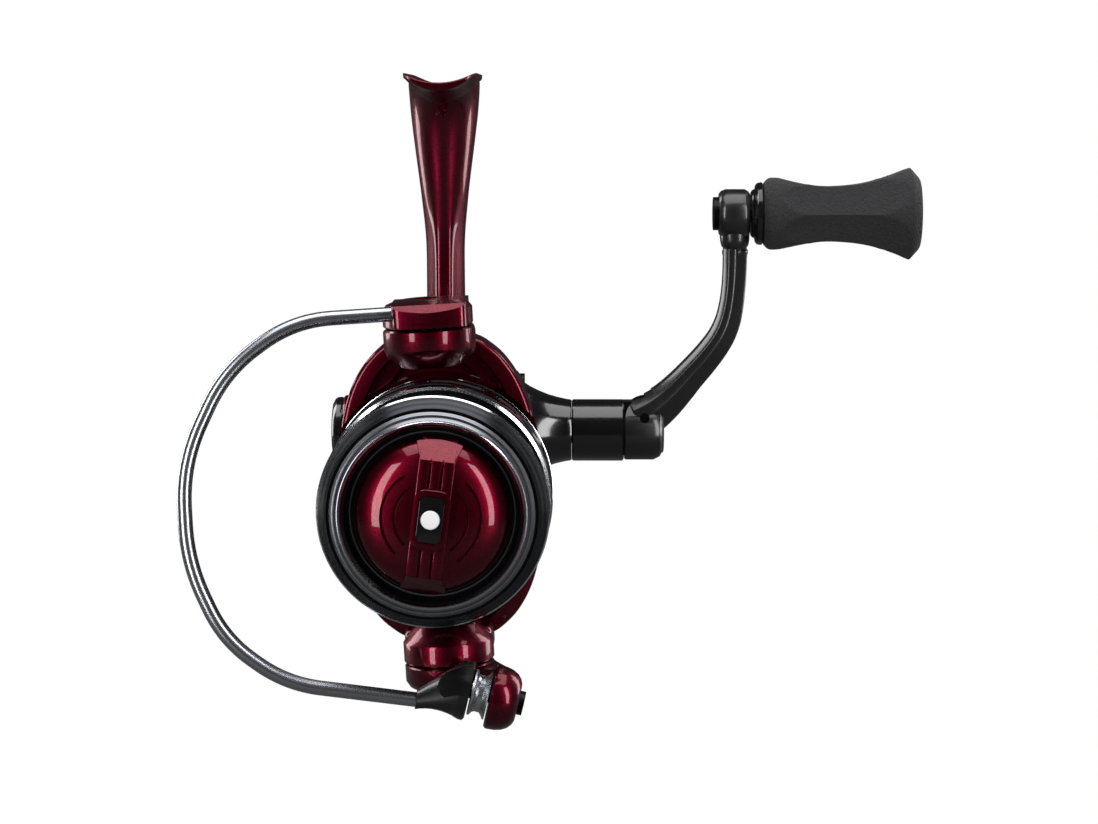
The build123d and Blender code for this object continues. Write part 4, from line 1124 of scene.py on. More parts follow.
@dataclass
class DragKnob:
    """Domed drag knob with its grip bar, frame, inlay and disc. Lengths in millimetres."""

    reel: ReelFrame
    radius: float = 16.2
    back: float = -30.2
    front: float = -38.6
    tilt: float = 7.0
    bar_half: float = 3.65
    end_inner: float = 12.2
    end_half: float = 5.3
    frame_half: Point = (3.8, 6.2)
    inlay_half: Point = (2.75, 4.9)
    grooves: Point = (7.6, 10.3)
    groove_sweep: float = 104.0

    def build(self) -> None:
        """Makes the knob's red body and its black inlay."""
        dome = self.build_dome()
        self.add_bar(dome)
        self.hollow_back(dome)
        turn = Matrix.Rotation(math.radians(self.tilt), 4, "Y")
        dome.data.transform(turn)
        looks = (CANDY_KNOB,)
        deliver(dome, self.reel, "drag_knob", looks, ("drag_knob",), angle=28.0)
        self.build_inlay(turn)

    def build_inlay(self, turn: Matrix) -> None:
        """The black inlay and the plain disc in its middle.

        Args:
            turn: the knob's turn about the spool axis.
        """
        wide, tall = self.inlay_half[0] - 0.04, self.inlay_half[1] - 0.04
        floor = self.front + 0.97
        inlay = prism(
            "knob_insert_moulded", rectangle(wide, tall, floor), Vector((0, -0.75, 0)), 1.08, 5
        )
        soften(inlay, 0.22, 3, 40.0)
        room = plug("room", SPOOL_AXIS, 2.0, (floor - 0.45, -41), 48)
        combine(inlay, [room], Join.CUT)
        inlay.data.transform(turn)
        deliver(inlay, self.reel, "drag_knob", (GLOSS_ABS,), ("knob_insert",))
        top = floor - 0.9
        disc = lathe(
            "knob_disc_enamelled",
            SPOOL_AXIS,
            [
                (floor - 0.44, 0),
                (floor - 0.44, 1.96),
                (top + 0.15, 1.96),
                (top + 0.03, 1.84),
                (top, 1.6),
                (top - 0.03, 0),
            ],
            64,
        )
        deliver(disc, self.reel, "drag_knob", (ENAMEL,), ("knob_disc",))

    def dome_y(self, radius: float) -> float:
        """Front of the dome at a distance from the axis.

        Args:
            radius: distance from the axis.

        Returns:
            Place of the front along the axis.
        """
        rim = -31.4
        crown = -36.9
        share = min(1.0, radius / self.radius)
        return rim + (crown - rim) * (1.0 - share**3.4) ** 0.55

    def build_dome(self) -> bpy.types.Object:
        """The turned dome with its concentric grooves.

        Returns:
            The dome, without its bar.
        """
        run = [(self.dome_y(self.radius * i / 26), self.radius * i / 26) for i in range(27)]
        run += [(self.back + 0.3, self.radius), (self.back, self.radius - 0.3), (self.back, 0.0)]
        dome = lathe("knob_dome", SPOOL_AXIS, run, 128)
        for groove in self.grooves:
            level = self.dome_y(groove)
            cut = [
                (level - 1.0, groove - 0.62),
                (level + 0.5, groove - 0.22),
                (level + 0.5, groove + 0.22),
                (level - 1.0, groove + 0.62),
            ]
            for end in (52.0, 232.0):
                cutter = lathe("groove", SPOOL_AXIS, cut, 40, self.groove_sweep)
                cutter.data.transform(Matrix.Rotation(math.radians(end), 4, "Y"))
                combine(dome, [cutter], Join.CUT)
        return dome

    def add_bar(self, dome: bpy.types.Object) -> None:
        """Grip bar with ridges, flared end flats and the inlay's frame.

        Args:
            dome: the dome that gets the bar.
        """
        half, end, inner = self.bar_half, self.end_half, self.end_inner
        front = self.front + 0.45
        side = [
            (self.back + 2.0, -self.radius),
            (-32.4, -self.radius),
            (front + 0.35, -inner),
            (front, -7.0),
            (front, 7.0),
            (front + 0.35, inner),
            (-32.4, self.radius),
            (self.back + 2.0, self.radius),
        ]
        bar = prism(
            "bar", [Vector((-half, y, z)) for y, z in side], Vector((2 * half, 0, 0))
        )
        for x in (-1.25, 1.25):
            for low, high in ((-17.0, -6.4), (6.4, 17.0)):
                outline = [
                    Vector((x - 0.5, front - 1.0, low)),
                    Vector((x + 0.5, front - 1.0, low)),
                    Vector((x + 0.12, front + 0.8, low)),
                    Vector((x - 0.12, front + 0.8, low)),
                ]
                combine(bar, [prism("flute", outline, Vector((0, 0, high - low)))], Join.CUT)
        soften(bar, 0.22, 2, 25.0)
        combine(dome, [bar], Join.ADD)
        for way in (-1, 1):
            outline = [
                Vector((-half + 0.1, self.back + 2.0, way * (inner - 0.6))),
                Vector((half - 0.1, self.back + 2.0, way * (inner - 0.6))),
                Vector((end, self.back + 2.0, way * (self.radius + 0.5))),
                Vector((-end, self.back + 2.0, way * (self.radius + 0.5))),
            ]
            flat = prism("end_flat", outline, Vector((0, -10.5, 0)))
            slope = [
                Vector((-9, front + 0.25, way * (inner - 0.9))),
                Vector((-9, -32.3, way * (self.radius + 0.5))),
                Vector((-9, -42.0, way * (self.radius + 0.5))),
                Vector((-9, -42.0, way * (inner - 0.9))),
            ]
            combine(flat, [prism("slope", slope, Vector((18, 0, 0)))], Join.CUT)
            reach = plug("reach", SPOOL_AXIS, self.radius, (-45, -20), 96)
            combine(flat, [reach], Join.KEEP)
            soften(flat, 0.18, 2, 25.0)
            combine(dome, [flat], Join.ADD)
        wide, tall = self.frame_half
        raised = rectangle(wide, tall, front + 2.0)
        frame = prism("frame", raised, Vector((0, self.front + 0.05 - front - 2.0, 0)), 2.3, 6)
        soften(frame, 0.3, 3, 40.0)
        combine(dome, [frame], Join.ADD)
        wide, tall = self.inlay_half
        room = rectangle(wide, tall, front + 0.5)
        combine(dome, [prism("room", room, Vector((0, -3.0, 0)), 1.7, 6)], Join.CUT)

    def hollow_back(self, dome: bpy.types.Object) -> None:
        """The room behind the dome for the drag's hub, spring and nut.

        Args:
            dome: the dome that is hollowed.
        """
        end = self.back + 1
        hollow = lathe("hollow", SPOOL_AXIS, [(end, 0), (-33.4, 0), (-33.4, 14.2), (end, 14.2)], 96)
        combine(dome, [hollow], Join.CUT)


# ---------------------------------------------------------------- rotor


@dataclass
class RotorGroup:
    """Rotor drum, its webbed arms and the bosses the bail swings on. Lengths in millimetres."""

    reel: ReelFrame
    drum_radius: float = 23.4
    drum_front: float = 4.2
    back: float = 20.8
    plate_front: float = 15.6
    arm_front: float = 9.2
    skirt_room: float = 25.8
    nose_room: float = 13.2
    boss_radius: float = 9.9
    boss_inner: float = 28.2
    boss_outer: float = 36.7
    pivot: float = 2.55
    arm_half: list[Point] = field(
        default_factory=lambda: [
            (22.6, 0.0),
            (22.3, 8.0),
            (21.0, 16.0),
            (18.7, 23.0),
            (15.4, 28.4),
            (11.6, 31.9),
            (9.2, 33.2),
        ]
    )

    def build(self) -> None:
        """Makes the rotor in one piece."""
        rotor = self.build_drum()
        for way in (1, -1):
            arm = self.build_arm(way)
            combine(rotor, [arm], Join.ADD)
        for way in (1, -1):
            combine(rotor, [self.build_boss(way)], Join.ADD)
        self.bore(rotor)
        deliver(
            rotor,
            self.reel,
            "rotor",
            (CANDY_LACQUER,),
            ("rotor",),
            turned=True,
            angle=30.0,
        )

    def build_drum(self) -> bpy.types.Object:
        """The turned drum and the ring of its rear plate.

        Returns:
            The drum.
        """
        r, room = self.drum_radius, self.nose_room
        profile = [
            (self.drum_front, 3.92),
            (self.drum_front, r - 0.5),
            (self.drum_front + 0.5, r),
            (self.back - 1.2, r),
            (self.back - 0.3, r - 0.5),
            (self.back, r - 1.4),
            (self.back, room + 0.4),
            (self.back - 0.4, room),
            (self.plate_front, room),
            (self.plate_front, r - 1.4),
            (self.drum_front + 2.0, r - 1.4),
            (self.drum_front + 2.0, 7.5),
            (8.6, 7.5),
            (8.6, 3.92),
        ]
        return lathe("rotor_cast", SPOOL_AXIS, profile, 128)

    def outline(self, inset: float, way: int, y: float) -> list[Vector]:
        """The arm's outline, brought in by a rib's width.

        Args:
            inset: the rib's width.
            way: 1 for the upper arm, -1 for the lower.
            y: where the outline lies.

        Returns:
            The corners in order.
        """
        half = flowing(self.arm_half, 5)
        right = [(x - inset, z - inset * 0.5) for x, z in half]
        left = [(-x, z) for x, z in reversed(right)]
        return [Vector((x, y, way * z)) for x, z in right + left]

    def build_arm(self, way: int) -> bpy.types.Object:
        """One arm: a web with a raised border and a sunk panel, curving forward to the boss.

        Args:
            way: 1 for the upper arm, -1 for the lower.

        Returns:
            The arm.
        """
        depth = self.back - self.arm_front
        arm = prism("arm", self.outline(0.0, way, self.arm_front), Vector((0, depth, 0)))
        soften(arm, 1.1, 3, 40.0)
        sunk = prism("sunk", self.outline(3.3, way, self.arm_front - 2.0), Vector((0, 4.2, 0)))
        soften(sunk, 0.8, 3, 60.0)
        panel = prism("panel", self.outline(6.4, way, self.arm_front - 2.0), Vector((0, 6.0, 0)))
        soften(panel, 0.8, 3, 60.0)
        combine(arm, [sunk, panel], Join.CUT)
        spool_room = plug("spool_room", SPOOL_AXIS, self.skirt_room, (0, self.plate_front), 128)
        hollow = plug("hollow", SPOOL_AXIS, self.drum_radius - 1.0, (0, 30), 128)
        combine(arm, [spool_room, hollow], Join.CUT)
        return arm

    def build_boss(self, way: int) -> bpy.types.Object:
        """A pivot boss: a flat-topped drum, chamfered below, with its neck back to the arm.

        Args:
            way: 1 for the upper boss, -1 for the lower.

        Returns:
            The boss with its neck.
        """
        r, low, high = self.boss_radius, self.boss_inner, self.boss_outer
        spindle = Spindle(MIDDLE, Vector((0, 0, way)), RIGHT)
        profile = [
            (low, 0.0),
            (low, 6.4),
            (low + 0.5, 7.2),
            (low + 2.9, 9.0),
            (low + 3.7, r - 0.15),
            (low + 4.1, r),
            (high - 0.5, r),
            (high - 0.1, r - 0.35),
            (high, r - 0.8),
            (high, 0.0),
        ]
        boss = lathe("boss", spindle, profile, 96)
        heel = self.back - 0.4
        base = [(-9.6, 0.0), (9.6, 0.0), (9.8, 11.0), (9.2, heel), (-9.2, heel), (-9.8, 11.0)]
        floor = way * (low + 1.6)
        outline = [Vector((x, y, floor)) for x, y in base]
        neck = prism("neck", outline, Vector((0, 0, way * (high - low - 2.2))), 2.0, 4)
        soften(neck, 1.4, 4, 50.0)
        combine(boss, [neck], Join.ADD)
        return boss

    def bore(self, rotor: bpy.types.Object) -> None:
        """Holes for the pivots and the well of the bail spring.

        Args:
            rotor: the rotor that is bored.
        """
        for way in (1, -1):
            spindle = Spindle(MIDDLE, Vector((0, 0, way)), RIGHT)
            hole = plug("hole", spindle, self.pivot, (self.boss_inner + 1.6, 40), 48)
            combine(rotor, [hole], Join.CUT)
        well = lathe(
            "well",
            PIVOT_AXIS,
            [(self.boss_outer - 4.6, 3.5), (self.boss_outer - 4.6, 7.0), (40, 7.0), (40, 3.5)],
            64,
        )
        combine(rotor, [well], Join.CUT)


# ---------------------------------------------------------------- bail


def ring_about(
    centre: Vector, way: Vector, wide: float, tall: float, count: int = 40
) -> list[Vector]:
    """An ellipse of points square to a direction.

    Args:
        centre: its middle.
        way: the direction it is square to.
        wide: half size along the reel's front-to-back side.
        tall: half size across.
        count: points.

    Returns:
        The points in order.
    """
    way = way.normalized()
    first = way.cross(BACK).normalized()
    second = way.cross(first).normalized()
    points = []
    for i in range(count):
        turn = 2 * math.pi * i / count
        points.append(centre + first * (tall * math.cos(turn)) + second * (wide * math.sin(turn)))
    return points


@dataclass
class BailGroup:
    """Wire, upper holder, lower arm, cone and line roller. Lengths in millimetres."""

    reel: ReelFrame
    wire_radius: float = 1.6
    reach: float = 53.4
    top: float = 40.3
    slope: tuple[float, float, float] = (-9.5, 0.122, 0.134)
    boss_radius: float = 9.8
    low: float = 37.0
    layer: float = 6.0
    roller_at: tuple[float, float, float] = (6.9, -16.0, -41.3)
    roller_slope: float = 16.5
    roller_radius: float = 5.3
    roller_half: float = 1.9
    cone_radius: float = 6.4
    cap_radius: float = 7.0
    cap_length: float = 6.2
    wire_hole: float = 1.62
    screw_bore: float = 1.52

    def build(self) -> None:
        """Makes the whole bail."""
        self.build_wire()
        self.build_holder()
        self.build_arm()
        self.build_cone()
        self.build_roller()

    def wire_corners(self) -> list[Vector]:
        """The wire's corner points, from the holder round to the cone.

        Returns:
            The points in order.
        """
        flat = [
            (-4.6, self.top),
            (-28.4, self.top),
            (-self.reach + 10.0, 30.6),
            (-self.reach, 11.8),
            (-self.reach, -9.2),
            (-self.reach + 6.8, -26.0),
            (-34.0, -36.3),
            (-4.5, -42.3),
        ]
        base, across, up = self.slope
        return [Vector((x, base + across * x + up * z, z)) for x, z in flat]

    def wire_run(self) -> list[Vector]:
        """The wire's middle line with its large bends.

        Returns:
            The points in order.
        """
        corners = self.wire_corners()
        run = [corners[0]]
        for before, here, after in zip(corners, corners[1:], corners[2:]):
            back = (before - here).normalized()
            on = (after - here).normalized()
            reach = 0.45 * min((before - here).length, (after - here).length)
            start, end = here + back * reach, here + on * reach
            for i in range(13):
                t = i / 12
                run.append(start * (1 - t) ** 2 + here * (2 * t * (1 - t)) + end * t**2)
        run.append(corners[-1])
        return run

    def build_wire(self) -> None:
        """The polished wire, swept along its run."""
        run = self.wire_run()
        rings = []
        for i, point in enumerate(run):
            ahead = run[min(i + 1, len(run) - 1)]
            behind = run[max(i - 1, 0)]
            rings.append(ring_about(point, ahead - behind, self.wire_radius, self.wire_radius, 24))
        wire = loft("bail_wire_drawn", rings)
        deliver(
            wire,
            self.reel,
            "bail",
            (POLISHED_WIRE,),
            ("bail_wire",),
            turned=True,
            angle=40.0,
        )

    def build_holder(self) -> None:
        """The upper side piece: a cam plate and the block that grips the wire."""
        low, high = self.low, self.low + self.layer
        plate = lathe(
            "bail_holder_cast",
            PIVOT_AXIS,
            [
                (low, 0.0),
                (low, self.boss_radius - 0.4),
                (low + 0.4, self.boss_radius),
                (high - 2.2, self.boss_radius),
                (high - 1.0, self.boss_radius - 0.9),
                (high - 0.35, self.boss_radius - 2.6),
                (high, self.boss_radius - 4.4),
                (high, 0.0),
            ],
            96,
        )
        side = [
            (-11.5, low + 0.2),
            (-11.5, low + 3.5),
            (-9.9, low + 5.2),
            (-6.0, low + 5.8),
            (3.0, low + 5.9),
            (3.0, low + 0.2),
        ]
        lug = prism("lug", [Vector((-7.2, y, z)) for y, z in side], Vector((16.2, 0, 0)))
        plan = [(-7.2, 3.2), (-7.2, -9.0)]
        plan += flowing([(-6.9, -9.9), (-5.6, -10.8), (0.9, -11.5), (7.4, -10.8), (8.7, -9.8)], 5)
        plan += [(9.0, -8.8), (9.0, 3.2)]
        crowned = prism("crowned", [Vector((x, y, low - 1)) for x, y in plan], Vector((0, 0, 9)))
        combine(lug, [crowned], Join.KEEP)
        soften(lug, 0.7, 4, 25.0)
        seam = box("seam", Vector((-12, -13, low + 1.05)), Vector((12, -11.25, low + 1.3)))
        combine(plate, [lug], Join.ADD)
        combine(plate, [seam], Join.CUT)
        screw = plug("pivot_well", PIVOT_AXIS, 3.1, (high - 1.4, high + 1), 48)
        combine(plate, [screw], Join.CUT)
        corners = self.wire_corners()
        way = corners[1] - corners[0]
        grip = loft(
            "grip",
            [
                ring_about(spot, way, self.wire_hole, self.wire_hole, 24)
                for spot in (corners[0] + Vector((0.5, 0, 0)), corners[1])
            ],
        )
        combine(plate, [grip], Join.CUT)
        deliver(
            plate, self.reel, "bail", (CANDY_LACQUER,), ("bail_holder",), turned=True
        )

    def roller_spindle(self) -> Spindle:
        """The line roller's axle, pointing outwards to the right.

        Returns:
            The axis.
        """
        lean = math.radians(self.roller_slope)
        way = Vector((math.cos(lean), 0, -math.sin(lean)))
        return Spindle(Vector(self.roller_at), way, BACK)

    def build_arm(self) -> None:
        """The lower side piece: a round plate that reaches forward to a rounded end cap."""
        high, low = -self.low, -self.low - self.layer
        r = self.boss_radius
        arm = lathe(
            "bail_arm_cast",
            PIVOT_AXIS,
            [
                (high, 0.0),
                (high, r - 0.3),
                (high - 0.3, r),
                (low + 2.4, r),
                (low + 1.1, r - 0.8),
                (low + 0.3, r - 2.2),
                (low, r - 3.8),
                (low, 0.0),
            ],
            96,
        )
        reach = [
            (-4.6, 3.0),
            (-2.0, -3.0),
            (6.8, -15.0),
            (9.0, -16.6),
            (13.4, -15.4),
            (14.2, -12.4),
            (11.0, -3.0),
            (9.2, 3.0),
        ]
        outline = [Vector((x, y, low + 0.5)) for x, y in flowing(reach, 4)]
        bridge = prism("bridge", outline, Vector((0, 0, self.layer - 0.8)))
        soften(bridge, 1.4, 4, 40.0)
        spindle = self.roller_spindle()
        start = self.roller_half + 0.3
        room = plug("room", spindle, self.cap_radius + 0.2, (-13, start), 64)
        combine(bridge, [room], Join.CUT)
        end = start + self.cap_length
        cap = lathe(
            "cap",
            spindle,
            [
                (start, 0.0),
                (start, self.cap_radius - 0.45),
                (start + 0.35, self.cap_radius - 0.08),
                (start + 0.8, self.cap_radius),
                (start + 2.4, self.cap_radius - 0.1),
                (start + 3.8, self.cap_radius - 0.45),
                (start + 5.0, self.cap_radius - 1.1),
                (start + 5.8, self.cap_radius - 2.0),
                (end, self.cap_radius - 2.9),
                (end, 2.75),
                (end - 0.8, 2.7),
                (end - 0.8, 0.0),
            ],
            72,
        )
        combine(arm, [bridge, cap], Join.ADD)
        bore = plug("bore", spindle, self.screw_bore, (0, 12), 32)
        combine(arm, [bore], Join.CUT)
        deliver(
            arm, self.reel, "bail", (CANDY_LACQUER,), ("bail_arm",), turned=True
        )

    def build_cone(self) -> None:
        """The black cone between the wire and the roller, with hollows pressed into its flank."""
        spindle = self.roller_spindle()
        back = -self.roller_half - 0.3
        corners = self.wire_corners()
        tip = corners[-1]
        way = (corners[-2] - corners[-1]).normalized()
        nose = tip + way * 2.4
        shoulder = spindle.point(back - 2.6, 0.0)
        rings = []
        for along, less in ((0, 0.5), (0.4, 0.0), (2.2, 0.0), (2.8, 0.35)):
            radius = self.cone_radius - less
            rings.append(ring_about(spindle.point(back - along, 0), spindle.way, radius, radius))
        for share in (0.25, 0.5, 0.75):
            middle = shoulder.lerp(nose, share)
            facing = spindle.way.lerp(-way, share)
            radius = (self.cone_radius - 0.3) * (1 - share) + (self.wire_radius + 0.55) * share
            rings.append(ring_about(middle, facing, radius, radius))
        rings.append(ring_about(nose, -way, self.wire_radius + 0.5, self.wire_radius + 0.5))
        cone = loft("bail_cone_moulded", rings)
        for turn in (75.0, 195.0, 315.0):
            lens = plug("lens", Spindle(MIDDLE, RIGHT, UP), 12.0, (-3.2, 3.2), 64)
            away = Matrix.Rotation(math.radians(turn), 4, spindle.way)
            out = away @ Vector((0, -1, 0))
            spot = shoulder.lerp(nose, 0.42) + out * (self.cone_radius * 0.62 + 11.6)
            axis = out.cross(spindle.way)
            frame = axis.to_track_quat("X", "Z").to_matrix().to_4x4()
            lens.data.transform(Matrix.Translation(spot) @ frame)
            combine(cone, [lens], Join.CUT)
        hole = loft(
            "hole",
            [
                ring_about(tip + Vector((0.01, 0, 0)), way, self.wire_hole, self.wire_hole, 24),
                ring_about(tip + way * 9, way, self.wire_hole, self.wire_hole, 24),
            ],
        )
        bore = plug("bore", spindle, self.screw_bore, (back - 3.0, 2), 32)
        combine(cone, [hole, bore], Join.CUT)
        deliver(
            cone,
            self.reel,
            "bail",
            (SATIN_ABS,),
            ("bail_cone",),
            turned=True,
            angle=28.0,
        )

    def build_roller(self) -> None:
        """The waisted line roller."""
        half, r = self.roller_half, self.roller_radius
        profile = [
            (-half, 2.92),
            (-half, r - 0.5),
            (-half + 0.15, r - 0.3),
            (-half + 0.5, r - 0.35),
            (-half + 1.0, r - 1.1),
            (-half + 1.5, r - 1.35),
            (half - 1.3, r - 1.3),
            (half - 0.8, r - 0.8),
            (half - 0.35, r - 0.05),
            (half - 0.1, r),
            (half, r - 0.15),
            (half, 2.92),
        ]
        roller = lathe("line_roller_turned", self.roller_spindle(), profile, 72)
        deliver(
            roller,
            self.reel,
            "line_roller",
            (GROUND_ROLLER,),
            ("line_roller",),
            turned=True,
            angle=25.0,
        )


# ---------------------------------------------------------------- handle


@dataclass
class HandleGroup:
    """Collar, folding arm and foam knob. Lengths in millimetres."""

    reel: ReelFrame
    axis_y: float = 36.0
    axis_z: float = 10.0
    throw: float = 49.8
    collar_start: float = 28.94
    collar_end: float = 40.9
    collar_radius: float = 7.1
    tongue: float = 5.0
    fold_x: float = 45.6
    fold_rise: float = 3.45
    base_end: float = 50.1
    boss_start: float = 62.5
    boss_end: float = 69.5
    grip_start: float = 72.4
    grip_end: float = 108.4
    grip_core: float = 4.22
    scoops: int = 6
    scoop_half_length: float = 14.5
    scoop_half_degrees: float = 36.0
    scoop_depth: float = 1.7

    def build(self) -> None:
        """Makes the handle's pieces."""
        self.build_collar()
        self.build_arm()
        self.build_knob()

    def axle(self, rise: float = 0.0) -> Spindle:
        """The handle's axis, or the knob's when raised by the throw."""
        centre = Vector((0, self.axis_y, self.axis_z + rise))
        return Spindle(centre, RIGHT, UP)

    def build_collar(self) -> None:
        """The turned collar with its tongue."""
        start, end, r = self.collar_start, self.collar_end, self.collar_radius
        profile = [
            (start, 3.02),
            (start, r - 0.35),
            (start + 0.35, r),
            (end - 0.35, r),
            (end, r - 0.35),
            (end, 0.0),
            (start + 6.2, 0.0),
            (start + 6.2, 3.02),
        ]
        collar = lathe("handle_collar_turned", self.axle(), profile, 96)
        half, fold_z = self.tongue / 2, self.axis_z + self.fold_rise
        low = self.axis_y - half
        outline = [Vector((end - 1, low, fold_z - 3.4)), Vector((self.fold_x, low, fold_z - 3.4))]
        for i in range(1, 16):
            turn = math.radians(-90 + 180 * i / 16)
            x, z = self.fold_x + 3.4 * math.cos(turn), fold_z + 3.4 * math.sin(turn)
            outline.append(Vector((x, low, z)))
        outline += [Vector((self.fold_x, low, fold_z + 3.4)), Vector((end - 1, low, fold_z + 3.4))]
        combine(collar, [prism("tongue", outline, Vector((0, 2 * half, 0)))], Join.ADD)
        pin = Spindle(Vector((self.fold_x, self.axis_y, fold_z)), BACK, RIGHT)
        combine(collar, [plug("hole", pin, 1.15, (-9, 9), 32)], Join.CUT)
        looks = (GLOSS_BLACK_METAL,)
        deliver(collar, self.reel, "drive_shaft", looks, ("handle_collar",))

    def arm_sections(self) -> list[tuple[float, float, float, float]]:
        """Middle line of the arm as (x, z) with its width and depth, from the fork to the boss."""
        return [
            (44.6, 12.6, 10.2, 12.2),
            (47.6, 14.4, 9.4, 11.8),
            (50.6, 16.8, 8.5, 11.0),
            (53.4, 19.6, 7.7, 10.2),
            (56.0, 22.5, 7.1, 9.6),
            (58.6, 25.4, 6.8, 9.2),
            (61.2, 28.6, 6.5, 8.8),
            (63.3, 31.8, 6.2, 8.4),
            (64.7, 35.2, 5.9, 8.0),
            (65.5, 38.8, 5.65, 7.6),
            (65.95, 42.6, 5.5, 7.3),
            (66.2, 46.6, 5.5, 7.0),
            (66.3, 51.8, 5.6, 6.8),
        ]

    def bar_ring(self, spot: Vector, way: Vector, wide: float, deep: float) -> list[Vector]:
        """An eight-sided section with a creased front, square to the arm.

        Args:
            spot: the section's middle.
            way: the direction that the arm runs.
            wide: its width.
            deep: its depth.

        Returns:
            The points in order.
        """
        side = Vector((way.z, 0, -way.x)).normalized()
        corners = [
            (-0.5, 0.2),
            (-0.5, -0.26),
            (-0.3, -0.5),
            (0.0, -0.5),
            (0.5, -0.16),
            (0.5, 0.24),
            (0.2, 0.5),
            (-0.26, 0.5),
        ]
        ring = []
        for i, corner in enumerate(corners):
            before, after = corners[i - 1], corners[(i + 1) % len(corners)]
            for other, share, pull in (
                (before, 0.2, 1.0),
                (before, 0.05, 0.985),
                (after, 0.05, 0.985),
                (after, 0.2, 1.0),
            ):
                along = (corner[0] * (1 - share) + other[0] * share) * pull
                across = (corner[1] * (1 - share) + other[1] * share) * pull
                ring.append(spot + side * (along * wide) + Vector((0, across * deep, 0)))
        return ring

    def build_arm(self) -> None:
        """The cast arm: forked base, tapering bar, neck groove and knob boss."""
        y, z, r = self.axis_y, self.axis_z, self.collar_radius
        start = self.collar_end + 0.05
        fold_z = z + self.fold_rise
        base = lathe(
            "handle_arm_cast",
            self.axle(),
            [
                (start, 0),
                (start, r - 0.3),
                (start + 0.3, r),
                (self.base_end - 2.4, r),
                (self.base_end - 0.9, r - 0.7),
                (self.base_end, r - 2.3),
                (self.base_end, 0),
            ],
            96,
        )
        fold = Spindle(Vector((self.fold_x, y, fold_z)), BACK, RIGHT)
        corner_low = Vector((start - 4, y - 9, fold_z))
        corner = box("corner", corner_low, Vector((self.fold_x, y + 9, fold_z + 9)))
        sweep = self.fold_x - start - 0.3
        keep = plug("keep", fold, sweep, (-10, 10), 96)
        combine(corner, [keep], Join.CUT)
        stations = self.arm_sections()
        spots = flowing([(x, up) for x, up, wide, deep in stations], 4)
        sizes = flowing([(wide, deep) for x, up, wide, deep in stations], 4)
        places = [(*spot, *size) for spot, size in zip(spots, sizes)]
        rings = []
        for i, (x, up, wide, deep) in enumerate(places):
            ahead = places[min(i + 1, len(places) - 1)]
            behind = places[max(i - 1, 0)]
            way = Vector((ahead[0] - behind[0], 0, ahead[1] - behind[1]))
            rings.append(self.bar_ring(Vector((x, y, up)), way, wide, deep))
        bar = loft("bar", rings)
        neck = Spindle(Vector((66.3, y, z + 40.3)), Vector((-0.03, 0, 1)).normalized(), BACK)
        collar = lathe(
            "neck",
            neck,
            [
                (0, 0),
                (0, 2.7),
                (0.35, 2.95),
                (1.0, 3.0),
                (1.5, 2.7),
                (1.8, 2.75),
                (2.2, 3.1),
                (3.4, 3.35),
                (5.6, 3.5),
                (8.0, 3.5),
                (8.0, 0),
            ],
            64,
        )
        boss = lathe(
            "boss",
            self.axle(self.throw),
            [
                (self.boss_start, 0),
                (self.boss_start, 4.6),
                (self.boss_start + 0.5, 5.2),
                (self.boss_start + 1.5, 5.6),
                (self.boss_end - 1.2, 5.6),
                (self.boss_end - 0.4, 5.2),
                (self.boss_end, 4.7),
                (self.boss_end, 0),
            ],
            72,
        )
        combine(base, [bar, collar, boss], Join.ADD)
        behind = box("behind", Vector((start - 9, y - 12, z - 20)), Vector((start, y + 12, z + 20)))
        combine(base, [corner, behind], Join.CUT)
        half = self.tongue / 2 + 0.3
        heel = z - r
        slot_low = Vector((start - 1, y - half, heel - 1))
        slot = box("slot", slot_low, Vector((self.fold_x + 4.2, y + half, fold_z)))
        upper_low = Vector((start - 1, y - half, fold_z - 0.01))
        upper = box("upper", upper_low, Vector((self.fold_x + 1.6, y + half, fold_z + 12)))
        round_end = plug("round", fold, 4.2, (-half, half), 64)
        combine(slot, [upper, round_end], Join.ADD)
        combine(base, [slot], Join.CUT)
        combine(base, [plug("hole", fold, 1.12, (-12, 12), 32)], Join.CUT)
        bore = plug("bore", self.axle(self.throw), 2.02, (60, 71), 32)
        combine(base, [bore], Join.CUT)
        deliver(
            base,
            self.reel,
            "handle_arm",
            (SATIN_PAINT,),
            ("handle_arm",),
            angle=35.0,
        )

    def build_knob(self) -> None:
        """Hard collar, scooped foam grip and end plug of the knob."""
        axle = self.axle(self.throw)
        start = self.boss_end + 0.3
        collar = lathe(
            "knob_collar_moulded",
            axle,
            [
                (start, 2.06),
                (start, 5.0),
                (start + 0.3, 5.4),
                (start + 0.9, 5.7),
                (start + 1.0, 6.5),
                (start + 1.4, 7.0),
                (self.grip_start - 0.3, 7.2),
                (self.grip_start, 7.0),
                (self.grip_start, 2.06),
            ],
            72,
        )
        deliver(collar, self.reel, "handle_knob", (GLOSS_ABS,), ("knob_collar",))
        self.build_grip(axle)
        cap = lathe(
            "knob_end_cap_moulded",
            axle,
            [
                (self.grip_end - 4.0, 0),
                (self.grip_end - 4.0, 3.6),
                (self.grip_end - 0.7, 3.6),
                (self.grip_end - 0.4, 3.3),
                (self.grip_end - 0.3, 2.4),
                (self.grip_end - 0.6, 2.2),
                (self.grip_end - 0.6, 0),
            ],
            48,
        )
        deliver(cap, self.reel, "handle_knob", (GLOSS_ABS,), ("knob_end_cap",))

